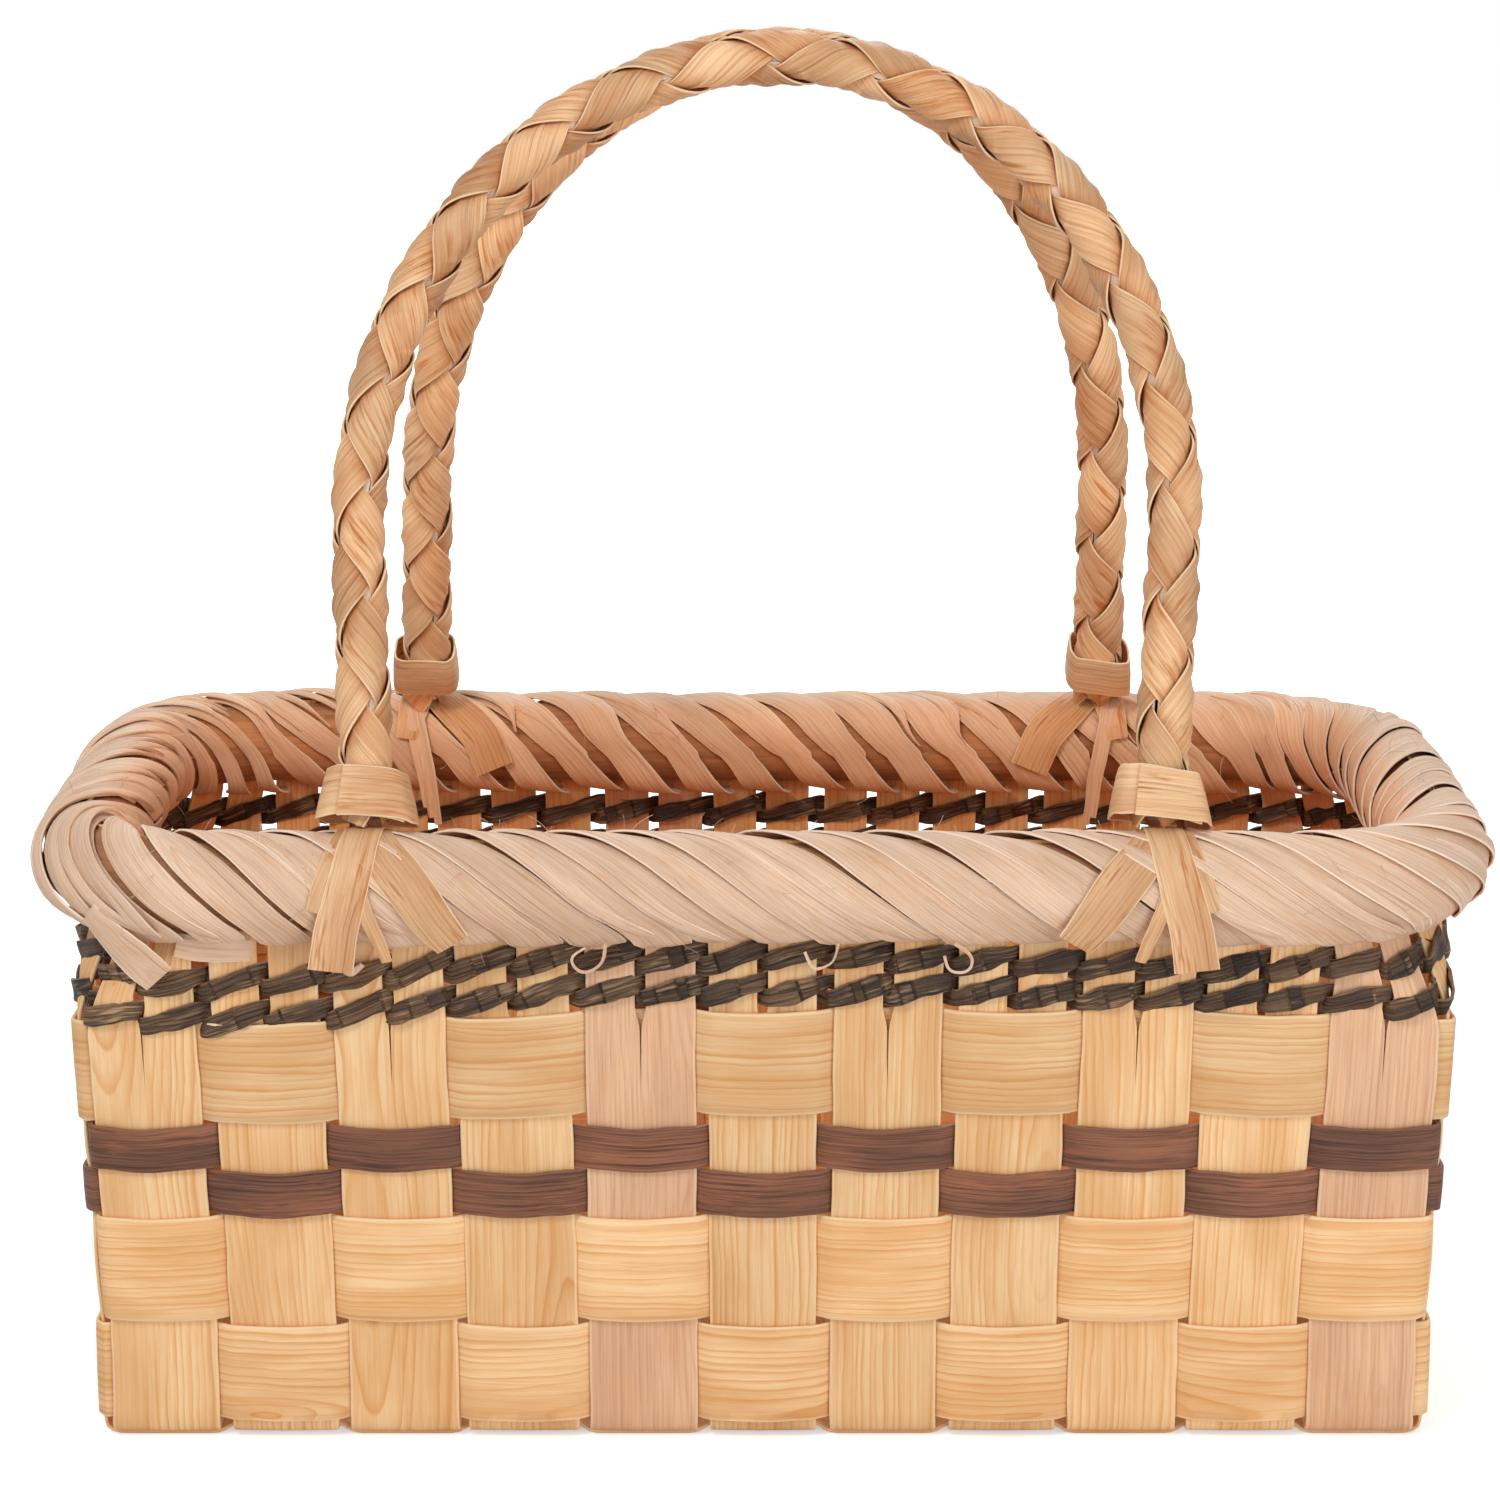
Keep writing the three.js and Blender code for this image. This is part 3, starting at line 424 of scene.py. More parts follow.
def grain_group():
    """Wood or bast grain along a strip, from its map in metres: growth rings cut at a flat angle, fibres,
    streaks, fine splits and broad changes of colour. The tone picks which part of the log it is cut from."""
    outputs = ("Lines", "Fibres", "Blotches", "Streaks", "Splits", "Height")
    nodes, given, end = new_group("Splint grain", "ShaderNodeTree", {
        "Vector": "Vector", "Tone": 0.5, "Ring Spacing": 2.2, "Log Spread": 70.0, "Fibre Width": 0.45,
        "Streak Amount": 0.4, "Split Amount": 0.3}, dict.fromkeys(outputs, "Float"))
    run, across = (place * 1000.0 for place in nodes.outs(
        "ShaderNodeSeparateXYZ", "XY", {"Vector": given["Vector"]}))
    piece = nodes.math("FLOOR", given["Tone"] * 9.0) * 7.3

    def noise(along, aside, number, detail=2.0, roughness=0.5):
        return nodes.noise(run * along, aside, piece + number, detail, roughness)

    drift = noise(0.03, across * 0.15, 0.0, 3.0) - 0.5
    depth = (noise(0.0065, 0.0, 5.0, 1.0) - 0.5) * 60.0
    beside = across + (given["Tone"] - 0.5) * given["Log Spread"] + drift * 3.0
    reach = nodes.math("SQRT", beside * beside + depth * depth)
    uneven = nodes.noise(reach * 0.22, 0.0, piece + 13.0, 1.0) * 3.0
    part = nodes.math("FRACT", reach / given["Ring Spacing"] + uneven)
    strength = noise(0.012, reach * 0.3, 7.0, 1.0)
    lines = (part ** 3.0) * nodes.ramp(part, 1.0, 0.9) * nodes.ramp(strength, 0.28, 0.56)
    fibre_rate = nodes.math("DIVIDE", 1.0, given["Fibre Width"])
    fibres = noise(0.03, across * fibre_rate, 3.0, 3.0, 0.65)
    fine = noise(0.9, across * 3.0, 11.0)
    blotches = noise(0.022, across * 0.07, 19.0)
    dashes = noise(0.13, across * 1.5, 29.0)
    patches = noise(0.045, across * 0.12, 37.0, 1.0)
    streaks = nodes.ramp(dashes, 0.47, 0.7) * nodes.ramp(patches, 0.42, 0.62) * given["Streak Amount"]
    splits = nodes.ramp(noise(0.022, across * 1.9, 43.0, 1.0), 0.68, 0.72) * given["Split Amount"]
    height = fibres * 0.6 + lines * 0.15 + fine * 0.35 - splits * 1.2
    for name, value in zip(outputs, (lines, fibres, blotches, streaks, splits, height)):
        nodes.feed(end.inputs[name], value)
    return nodes.tree


def painted_inside_shade_mask(nodes):
    """1 on faces that look into the basket, where a warm shade is painted for the light bounced round inside
    it, and 0 elsewhere.
    """
    place, normal = nodes.outs("ShaderNodeTexCoord", ("Object", "Normal"))
    x, y, z = nodes.outs("ShaderNodeSeparateXYZ", "XYZ", {"Vector": place})
    # To the nearest side of the basket
    way = nodes.vector("NORMALIZE", nodes.combine(
        (x / (RIM_HALF[0] * MM)) ** 9.0, (y / (RIM_HALF[1] * MM)) ** 9.0, 0.0))
    inwards = nodes.vector("DOT_PRODUCT", way, normal) * -1.0
    return nodes.ramp(inwards, 0.1, 0.8) * nodes.ramp(z, 0.164, 0.158)


GRAIN_INPUTS = ("Ring Spacing", "Log Spread", "Fibre Width", "Streak Amount", "Split Amount")
SPLINT_GRAIN = (1.9, 110.0, 0.6, 0.25, 0.0)
BROWN_GRAIN = (0.9, 140.0, 0.8, 0.6, 0.3)
BARK_GRAIN = (0.9, 140.0, 0.8, 0.6, 1.0)
RIM_GRAIN = (1.3, 150.0, 0.55, 0.55, 0.45)
BRAID_GRAIN = (1.3, 150.0, 0.55, 0.9, 0.45)
ORANGE = (230, 156, 82)
# A painted warm shade for the inside: it stands in for the shade and the light bounced round inside the
# basket
INSIDE_SHADE_TINT = (1.17, 0.94, 0.75)

# For each slot: its second colour and those of its lines, streaks and edges, as they look on screen, where
# the edges' colour is a painted highlight; its grain; how much the lines, fibres, blotches and tone change
# the colour;
# its roughness; its bump in millimetres. The pale splint's lines take the user's colour.
FINISHES = {
    "pale_splint": ((242, 208, 160), None, ORANGE, (246, 214, 168), SPLINT_GRAIN,
                    (1.0, 0.42, 0.16, 0.2), 0.55, 0.16),
    "pink_splint": ((234, 192, 154), (190, 134, 98), ORANGE, (240, 206, 172), SPLINT_GRAIN,
                    (0.45, 0.6, 0.14, 0.1), 0.6, 0.14),
    "brown_splint": ((140, 90, 64), (44, 27, 23), (156, 94, 62), (146, 100, 78), BROWN_GRAIN,
                     (0.7, 0.8, 0.9, 0.3), 0.5, 0.25),
    "dark_bark": ((122, 90, 62), (16, 10, 8), (186, 152, 112), (150, 118, 86), BARK_GRAIN,
                  (1.0, 1.0, 0.7, 1.1), 0.45, 0.9),
    "rim_bast": ((236, 206, 180), (196, 148, 112), (216, 154, 94), (255, 236, 216), RIM_GRAIN,
                 (0.5, 0.65, 0.18, 0.16), 0.5, 0.2),
    "braid_bast": ((236, 198, 154), (186, 122, 72), (190, 112, 54), (252, 226, 186), BRAID_GRAIN,
                   (0.5, 0.6, 0.24, 0.34), 0.5, 0.2),
    "hoop_wood": ((204, 150, 104), (136, 86, 54), (200, 140, 88), (170, 120, 80), SPLINT_GRAIN,
                  (0.5, 0.5, 0.3, 0.1), 0.75, 0.15),
}


@cache
def finish_of(slot):
    """The grained material of one of the record's slots, made once."""
    *screen, grain, strengths, roughness, bump = FINISHES[slot]
    shades = bpy.context.scene.basket_colours
    second, line, streak, edge = (linear(*c) if c else tuple(shades.splint_line) for c in screen)
    by_line, by_fibre, by_blotch, by_tone = strengths
    material = bpy.data.materials.new(slot)
    nodes = emptied(material)
    tone = nodes.attribute("tone")
    group = nodes.add("ShaderNodeGroup", node_tree=tree_of(grain_group))
    for name, value in (("Vector", nodes.out("ShaderNodeUVMap", {}, uv_map="Grain")), ("Tone", tone),
                        *zip(GRAIN_INPUTS, grain)):
        nodes.feed(group.inputs[name], value)
    made = {socket.name: Field(nodes, socket) for socket in group.outputs}

    shown = nodes.mix(nodes.ramp(made["Blotches"], 0.35, 0.65) * 0.8, tuple(getattr(shades, slot)), second)
    shown = nodes.mix(made["Lines"] * by_line, shown, line)
    shown = nodes.mix(nodes.ramp(made["Fibres"], 0.4, 0.75) * by_fibre, shown, line)
    shown = nodes.mix(made["Streaks"], shown, streak)
    shade = (made["Blotches"] * by_blotch + (1.0 - by_blotch / 2) + (tone - 0.5) * by_tone
             - made["Splits"] * 0.5)
    shown = nodes.mix(1.0, shown, nodes.combine(shade, shade, shade), "MULTIPLY")
    width = nodes.math("ABSOLUTE", nodes.attribute("across"))
    # Painted highlight: the strips' edges are lightened where they would catch the light
    shown = nodes.mix(nodes.ramp(width, 0.93, 0.98) * 0.8, shown, edge)
    # Painted warm shade and bounced light on the faces that look into the basket
    shown = nodes.mix(painted_inside_shade_mask(nodes), shown, INSIDE_SHADE_TINT, "MULTIPLY")
    # Painted shade with patina where a braid's strand passes under, in the streak colour
    shown = nodes.mix(nodes.attribute("sunk") * 0.75, shown, streak)
    relief = nodes.out("ShaderNodeBump", {
        "Height": made["Height"], "Distance": bump * MM, "Strength": 1.0})
    surface = nodes.out("ShaderNodeBsdfPrincipled", {
        "Base Color": shown, "Roughness": made["Fibres"] * 0.25 + (roughness - 0.12),
        "Specular IOR Level": 0.35, "Normal": relief})
    nodes.add("ShaderNodeOutputMaterial", {"Surface": surface})
    return material


# Meshes

SHARP_ANGLE = 50.0
DOUBLES_APART = 0.002


def new_object(name, data):
    obj = bpy.data.objects.new(name, data)
    bpy.context.scene.collection.objects.link(obj)
    return obj


def run_tree(obj, build, values):
    """Runs a tree on the object and keeps the result as a plain mesh."""
    tree = tree_of(build)
    modifier = obj.modifiers.new(tree.name, "NODES")
    modifier.node_group = tree
    for item in tree.interface.items_tree:
        if item.in_out == "INPUT" and item.name in values:
            modifier[item.identifier] = values[item.name]
    graph = bpy.context.evaluated_depsgraph_get()
    mesh = bpy.data.meshes.new_from_object(
        obj.evaluated_get(graph), preserve_all_data_layers=True, depsgraph=graph)
    old = obj.data
    obj.modifiers.clear()
    obj.data = mesh
    mesh.name = obj.name
    bpy.data.meshes.remove(old)


def clean_mesh(mesh, step, **options):
    shape = bmesh.new()
    shape.from_mesh(mesh)
    step(shape, **{key: getattr(shape, key) for key in ("verts", "faces") if key in options},
         **{key: value for key, value in options.items() if value is not None})
    shape.to_mesh(mesh)
    shape.free()


def tidy_mesh(obj):
    """Closed pieces get faces that point out, smooth shading and crisp edges."""
    mesh = obj.data
    for name in ("spot", "side", "face", "ring", "run"):
        if name in mesh.attributes:
            mesh.attributes.remove(mesh.attributes[name])
    clean_mesh(mesh, bmesh.ops.recalc_face_normals, faces=None)
    mesh.shade_smooth()
    mesh.set_sharp_from_angle(angle=math.radians(SHARP_ANGLE))


def put_attribute(mesh, name, values, kind="FLOAT"):
    attribute = mesh.attributes.new(name, kind, "POINT")
    key = "vector" if kind == "FLOAT_VECTOR" else "value"
    attribute.data.foreach_set(key, np.asarray(values, np.float32).ravel())


def settle(obj, body, node=None):
    """The piece stands for its node, if it has one, and moves with its body."""
    if node:
        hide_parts(node)
    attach(obj, body)


def grained_piece(node, ending, points, faces, places, tone, slot, across=None):
    """A closed piece from plain faces and their corners' places on the grain, in millimetres."""
    name = f"{node}_{ending}"
    mesh = bpy.data.meshes.new(name)
    mesh.from_pydata((points * MM).tolist(), [], faces)
    layer = mesh.uv_layers.new(name="Grain")
    layer.uv.foreach_set("vector", (np.array(places, np.float32) * MM).ravel())
    put_attribute(mesh, "tone", np.full(len(points), tone))
    if across is not None:
        put_attribute(mesh, "across", across)
        clean_mesh(mesh, bmesh.ops.remove_doubles, verts=None, dist=DOUBLES_APART * MM)
    mesh.materials.append(finish_of(slot))
    obj = new_object(name, mesh)
    tidy_mesh(obj)
    settle(obj, "basket", node)


def length_along(spots):
    steps = np.linalg.norm(np.diff(spots, axis=0), axis=1)
    return np.concatenate([[0.0], np.cumsum(steps)])


def unit(vectors):
    return vectors / np.linalg.norm(vectors, axis=-1, keepdims=True)


def tangents(spots):
    return unit(np.gradient(spots, axis=0))


def towards(vectors, way):
    """The vectors, each turned round where it points away from its way."""
    return vectors * column(np.where(np.sum(vectors * way, axis=1) < 0, -1.0, 1.0))


def column(values):
    return values[:, None]


def soften(values, rounds):
    """Evens a run of values out with its neighbours."""
    for _ in range(rounds):
        inner = (values[:-2] + 2 * values[1:-1] + values[2:]) / 4
        values = np.concatenate([values[:1], inner, values[-1:]])
    return values


def strip_path(spots, sides, facing, tone):
    """A strip's path: its middle points, half-width vectors and faces, in millimetres. The faces are
    square to the strip and point the way that facing does."""
    faces = towards(unit(np.cross(np.gradient(spots, axis=0), sides)), facing)
    return {"spot": spots, "side": sides, "face": faces, "run": length_along(spots),
            "tone": np.broadcast_to(tone, len(spots))}


def strip_piece(name, paths, body, slot, seed, node=None, **form):
    """A piece of one or more flat strips. Its form is the strip tree's sizes, in millimetres."""
    mesh = bpy.data.meshes.new(name)
    joined = {key: np.concatenate([path[key] for path in paths]) for key in paths[0]}
    joined["run"] = np.concatenate([path["run"] + 137.0 * k for k, path in enumerate(paths)])
    ends = np.cumsum([len(path["run"]) for path in paths])
    numbers = np.setdiff1d(np.arange(ends[-1]), ends - 1)
    mesh.from_pydata((joined["spot"] * MM).tolist(), np.stack([numbers, numbers + 1], 1).tolist(), [])
    for key, values in joined.items():
        scale = MM if key in ("spot", "side", "run") else 1.0
        put_attribute(mesh, key, values * scale, "FLOAT" if values.ndim == 1 else "FLOAT_VECTOR")
    obj = new_object(name, mesh)
    run_tree(obj, strip_tree, {
        "Seed": float(seed), "Material": finish_of(slot),
        **{key.replace("_", " ").title(): value * MM for key, value in form.items()}})
    tidy_mesh(obj)
    settle(obj, body, node)


def waver(places, seed, spacing):
    """A smooth random curve between about -1 and 1, whose swells are about the spacing apart."""
    draw = draws(seed)
    total = np.zeros(np.shape(places))
    for k in range(3):
        rate = 2 * math.pi / spacing * 1.7 ** k * draw.uniform(0.8, 1.2)
        total = total + np.sin(places * rate + draw.uniform(0, 2 * math.pi)) / 1.6 ** k
    return total / 1.6


# The walls' middle surface, in millimetres

def share(low, high, value):
    return np.clip((value - low) / (high - low), 0.0, 1.0)


def eased(value):
    return value * value * (3 - 2 * value)


def base_half(side):
    return np.where(np.asarray(side) % 2 == 0, BASE_HALF[0], BASE_HALF[1])


def half_side(side, height):
    return base_half(side) + FLARE * share(FLARE_START, FLARE_END, height)


def fanned(side, along, height):
    """A place along a side at the base, moved out with the wall's length at a height."""
    return along * half_side(side, height) / half_side(side, 0.0)


def turned(side, x, y):
    """A direction or place turned to its side of the basket."""
    angle = np.asarray(side) * math.pi / 2
    return x * np.cos(angle) - y * np.sin(angle), x * np.sin(angle) + y * np.cos(angle)


def wall(side, along, height, out):
    """Points on the walls and the directions out of them. Along is from the side's middle, anticlockwise."""
    side, along, height, out = np.broadcast_arrays(
        side, np.asarray(along, float), np.asarray(height, float), np.asarray(out, float))
    half = half_side(side, height)
    reach = half_side(side + 1, height)
    radius = CORNER_RADIUS + (RIM_CORNER - CORNER_RADIUS) * eased(share(ROUND_FROM, ROUND_TO, height))
    past = np.maximum(np.abs(along) - (half - radius), 0.0)
    angle = past / radius * math.pi / 4
    sign = np.sign(along)
    x = np.where(past > 0, sign * (half - radius + (radius + out) * np.sin(angle)), along)
    y = -np.where(past > 0, reach - radius + (radius + out) * np.cos(angle), reach + out)
    x, y = turned(side, x, y)
    out_x, out_y = turned(side, sign * np.sin(angle), -np.cos(angle))
    return np.stack([x, y, height], -1), np.stack([out_x, out_y, np.zeros_like(out_x)], -1)


def on_rim(side, along, radius, angle):
    """Points round the rolled rim and their outward directions: angle 0 is outside, a quarter turn is top."""
    flat, out = wall(side, along, RIM_HEIGHT, radius * np.cos(angle))
    up = np.array([0.0, 0.0, 1.0])
    spots = flat + (radius * np.sin(angle))[..., None] * up
    return spots, out * np.cos(angle)[..., None] + np.sin(angle)[..., None] * up


def round_the_walls(step):
    """Sides and places along them at the base, about every step, once round from the front's left end."""
    around, places = [], []
    for side in range(4):
        half = BASE_HALF[side % 2]
        count = round(2 * half / step)
        around.append(np.full(count, side))
        places.append(-half + 2 * half * np.arange(count) / count)
    return np.concatenate(around), np.concatenate(places)


def stake_wave(side, places, per_stake=1):
    """1 on even stakes, or half stakes, and -1 on odd ones, counted all round, with a wave between."""
    phase = places / (PITCH / per_stake) + (COUNTS[side] * per_stake - 1) / 2
    return np.cos(math.pi * phase) * np.where(FIRST_STAKES[side] * per_stake % 2 == 0, 1.0, -1.0)


def squared(wave, steepness):
    """A wave with flat tops and steep sides."""
    return np.tanh(steepness * wave) / math.tanh(steepness)


# Stakes

OUT_ON_EVEN = {"wide_weaver_1": False, "wide_weaver_2": True, "brown_weaver_1": False,
               "brown_weaver_2": True, "wide_weaver_3": False}
ROW_MIDDLES = [sum(box_mm(node))[2] / 2 for node in OUT_ON_EVEN]
PINK_STAKES = (4, 10)
EDGE_LIFTS = (0.97, 0.35)  # of a splint's thickness, at its last two points across
STAKE_PARTS = np.array([0.0, 0.3, 0.6, 0.85, 0.975, 1.0])


def stake_push(heights, number):
    """How far the weavers push a stake out: in behind the rows outside it, and out between them."""
    phase = np.interp(heights, ROW_MIDDLES, range(len(ROW_MIDDLES)))
    sign = 1.0 if number % 2 == 0 else -1.0
    return sizes().stake_give / MM * np.cos(phase * math.pi) * sign * (1 - share(96.0, 112.0, heights))


def slit_splint(node, spots, across, slits, tone, half_width, slot, seed):
    """A splint as one closed body whose ends are slit in two. The spots are its middle surface: two halves
    of the same number of points at each station, which meet where the slit is shut."""
    rows, _, columns = across.shape
    normals = unit(np.cross(np.gradient(spots, axis=2), np.gradient(spots, axis=0)))
    edge = np.ones(columns)
    edge[-2:] = EDGE_LIFTS
    lift = normals * np.stack([edge[::-1], edge])[None, :, :, None] * SPLINT / 2
    points = np.stack([spots - lift, spots + lift], 3).reshape(-1, 3)
    runs = length_along(spots[:, 0, 0]) + 313.0 * seed
    faces, places = [], []

    def add(half, *corners):
        faces.append([((i * 2 + half) * columns + j) * 2 + layer for i, j, layer in corners])
        places.extend((runs[i], across[i, half, j]) for i, j, _ in corners)

    for half, inner, outer in ((0, columns - 1, 0), (1, 0, columns - 1)):
        for i in range(rows - 1):
            for j in range(columns - 1):
                for layer in range(2):
                    add(half, (i, j, layer), (i + 1, j, layer), (i + 1, j + 1, layer), (i, j + 1, layer))
            for j in (outer, inner):
                if j == outer or slits[i] > 0 or slits[i + 1] > 0:
                    add(half, (i, j, 0), (i + 1, j, 0), (i + 1, j, 1), (i, j, 1))
        for i in (0, rows - 1):
            for j in range(columns - 1):
                add(half, (i, j, 0), (i, j + 1, 0), (i, j + 1, 1), (i, j, 1))
    grained_piece(node, "splint", points, faces, places, tone, slot,
                  np.repeat(across.reshape(-1), 2) / half_width)


def stake_piece(node, numbers, sides, centre, base_path, to_point, slot, seed, base_width=1.0):
    """One stake: a splint that runs down a wall, along the base and up the other wall, slit at both ends."""
    draw = draws(seed)
    half_width = STAKE_WIDTH / 2 * draw.uniform(0.97, 1.02)
    tone = draw.uniform(0.15, 0.85)
    lean = draw.uniform(-0.6, 0.6)
    heights = np.concatenate([
        np.arange(STAKE_TOP, ROUND_TO, -3.0), np.arange(ROUND_TO, ROUND_FROM, -1.5),
        np.arange(ROUND_FROM, base_path[0][1] + 1.0, -2.0)])
    stations = [(0, sides[0], height) for height in heights]
    stations += [(None, place, height) for place, height in base_path]
    stations += [(1, sides[1], height) for height in heights[::-1]]
    spots, across_rows, slits = [], [], []
    for end, place, height in stations:
        on_wall = end is not None
        slit = (SLIT_CRACK * share(SLIT_START, SLIT_MIDDLE, height)
                + (SLIT_GAP - SLIT_CRACK) * share(SLIT_MIDDLE, SLIT_END, height))
        outer = half_width * (1.0 if on_wall or height > BASE_HEIGHT + 2.5 else base_width)
        right = slit / 2 + (outer - slit / 2) * STAKE_PARTS
        across = np.stack([-right[::-1], right])
        cup = 0.2 * (1 - (across / outer) ** 2)
        edge = across * (1 + 0.012 * waver(height + seed * 50.0 * np.sign(across), seed, 37.0))
        if on_wall:
            flip = -1.0 if place in (BACK, LEFT) else 1.0
            along = flip * (fanned(place, centre, height) + edge + lean * share(0, STAKE_TOP, height))
            points, _ = wall(place, along, height, stake_push(height, numbers[end]) + cup)
        else:
            points = to_point(edge, place, height - cup)
        spots.append(points)
        across_rows.append(across)
        slits.append(slit)
    slit_splint(node, np.array(spots), np.array(across_rows), slits, tone, half_width, slot, seed)


def there_and_back(turn, flat):
    """A path along the base, from the foot of one wall to that of the other."""
    return [(-place, height) for place, height in turn] + flat + turn[::-1]


def cross_stakes():
    reach = BASE_HALF[1]
    bend = [math.pi / 2 * k / 4 for k in range(5)]
    turn = [(reach - BASE_BEND * (1 - math.cos(a)), BASE_HEIGHT + BASE_BEND * (1 - math.sin(a)))
            for a in bend]
    flat = np.arange(-reach + BASE_BEND, reach - BASE_BEND + 0.1, 2.6)
    path = there_and_back(turn, [(y, BASE_HEIGHT) for y in flat[1:-1]])
    for i in range(CROSS_COUNT):
        x = (i - (CROSS_COUNT - 1) / 2) * PITCH

        def to_point(across, along, height, x=x):
            return np.stack([x + across, np.full_like(across, along), height], -1)

        numbers = (i, FIRST_STAKES[BACK] + CROSS_COUNT - 1 - i)
        stake_piece(f"cross_stake_{i + 1}", numbers, (FRONT, BACK), x, path, to_point,
                    "pink_splint" if i in PINK_STAKES else "pale_splint", i + 1)


def long_stakes():
    reach, top = BASE_HALF[0], BASE_HEIGHT + BASE_BEND
    inner = (CROSS_COUNT - 1) / 2 * PITCH + STAKE_WIDTH / 2 + 0.3
    flat = np.linspace(-inner, inner, 200)
    for j in range(LONG_COUNT):
        y = (j - (LONG_COUNT - 1) / 2) * PITCH
        sign = 1.0 if j % 2 == 1 else -1.0
        wave = np.cos(math.pi * (flat / PITCH + (CROSS_COUNT - 1) / 2)) * sign
        heights = BASE_HEIGHT + (SPLINT + 0.3) * squared(wave, 5.5)
        end = heights[0]
        turn = [(reach, top), (reach - 0.1, end + (top - end) * 0.62),
                (reach - 0.5, end + (top - end) * 0.22)]

        def to_point(across, along, height, y=y):
            return np.stack([np.full_like(across, along), y + across, height], -1)

        numbers = (FIRST_STAKES[LEFT] + LONG_COUNT - 1 - j, FIRST_STAKES[RIGHT] + j)
        stake_piece(f"long_stake_{j + 1}", numbers, (LEFT, RIGHT), y,
                    there_and_back(turn, list(zip(flat, heights))), to_point, "pale_splint", 21 + j,
                    BASE_STRIP_WIDTH / STAKE_WIDTH)


# Weavers

# How far the upper rows rise above their usual heights, by the place along the front wall
FRONT_PLACES = (-142, -104, -87, -70, -50, 0, 40, 60, 75, 110, 160)
FRONT_RISES = {
    "wide_weaver_3": (0.3, 0.4, 0.5, 1.2, 2.2, 2.5, 2.6, 2.6, 2.6, 2.4, 1.0),
    "bark_twine_1": (-3.6, -1.8, 0.3, 2.4, 3.8, 4.6, 4.5, 3.8, 3.0, 2.8, 1.8),
    "bark_twine_2": (-3.8, -2.0, -0.2, 1.8, 3.0, 3.8, 3.5, 2.2, 1.2, 1.5, 1.8),
}
TWINE_RISE = 1.6  # on the other walls
WEAVER_TONES = (0.6, 0.9, 0.85, 0.7, 0.08)
WEAVER_STEP, TWINE_STEP = 1.6, 0.85
TWINE_CLIMB, TWINE_DEPTH = 1.9, 1.3


def front_rise(row, side, places, rounds):
    if row not in FRONT_RISES:
        return np.zeros(len(places))
    rise = np.interp(places, FRONT_PLACES, FRONT_RISES[row])
    edge = np.interp(np.abs(places), (140, BASE_HALF[0]), (1.0, 0.2))
    return soften(np.where(side == FRONT, rise * edge, TWINE_RISE * (row != "wide_weaver_3")), rounds)


def weavers():
    for k, (node, out_on_even) in enumerate(OUT_ON_EVEN.items()):
        (_, _, low), (_, _, high) = box_mm(node)
        width = high - low
        is_brown = node.startswith("brown")
        side, places = round_the_walls(WEAVER_STEP)
        count = len(places)
        # The ends lap over one another behind a stake of the back that the weaver passes inside.
        stake = CROSS_COUNT // 2
        stake += out_on_even != ((FIRST_STAKES[BACK] + stake) % 2 == 1)
        centre = (stake - (CROSS_COUNT - 1) / 2) * PITCH
        middle = np.flatnonzero(side == BACK)[0] + round((centre + BASE_HALF[0]) / WEAVER_STEP)
        lap = round(0.52 * PITCH / WEAVER_STEP)
        order = np.arange(middle - lap, middle + count + lap) % count
        side, places = side[order], places[order]
        wave = stake_wave(side, places) * (1.0 if out_on_even else -1.0)
        under = eased(share(count - 4, count + 2, np.arange(len(order))))
        out = sizes().weave_depth / MM * squared(wave, 5.0) - 1.15 * under
        bow = (0.9 if is_brown else 0.55) * np.maximum(wave, 0.0) ** 2
        rise = front_rise(node, side, places, 20)
        lows, _ = wall(side, fanned(side, places, low), low - bow + rise, out)
        highs, facing = wall(
            side, fanned(side, places, high), high - bow + rise * 1.3 + 0.7 * (rise > 0), out)
        path = strip_path((lows + highs) / 2, (highs - lows) / 2 * (width + 0.3) / width, facing,
                          WEAVER_TONES[k])
        strip_piece(f"{node}_band", [path], "basket", "brown_splint" if is_brown else "pale_splint",
                    k + 1, node, thickness=SPLINT, cup=0.15, edge_waver=0.7 if is_brown else 0.4,
                    surface_waver=0.12, waver_length=14.0 if is_brown else 24.0)


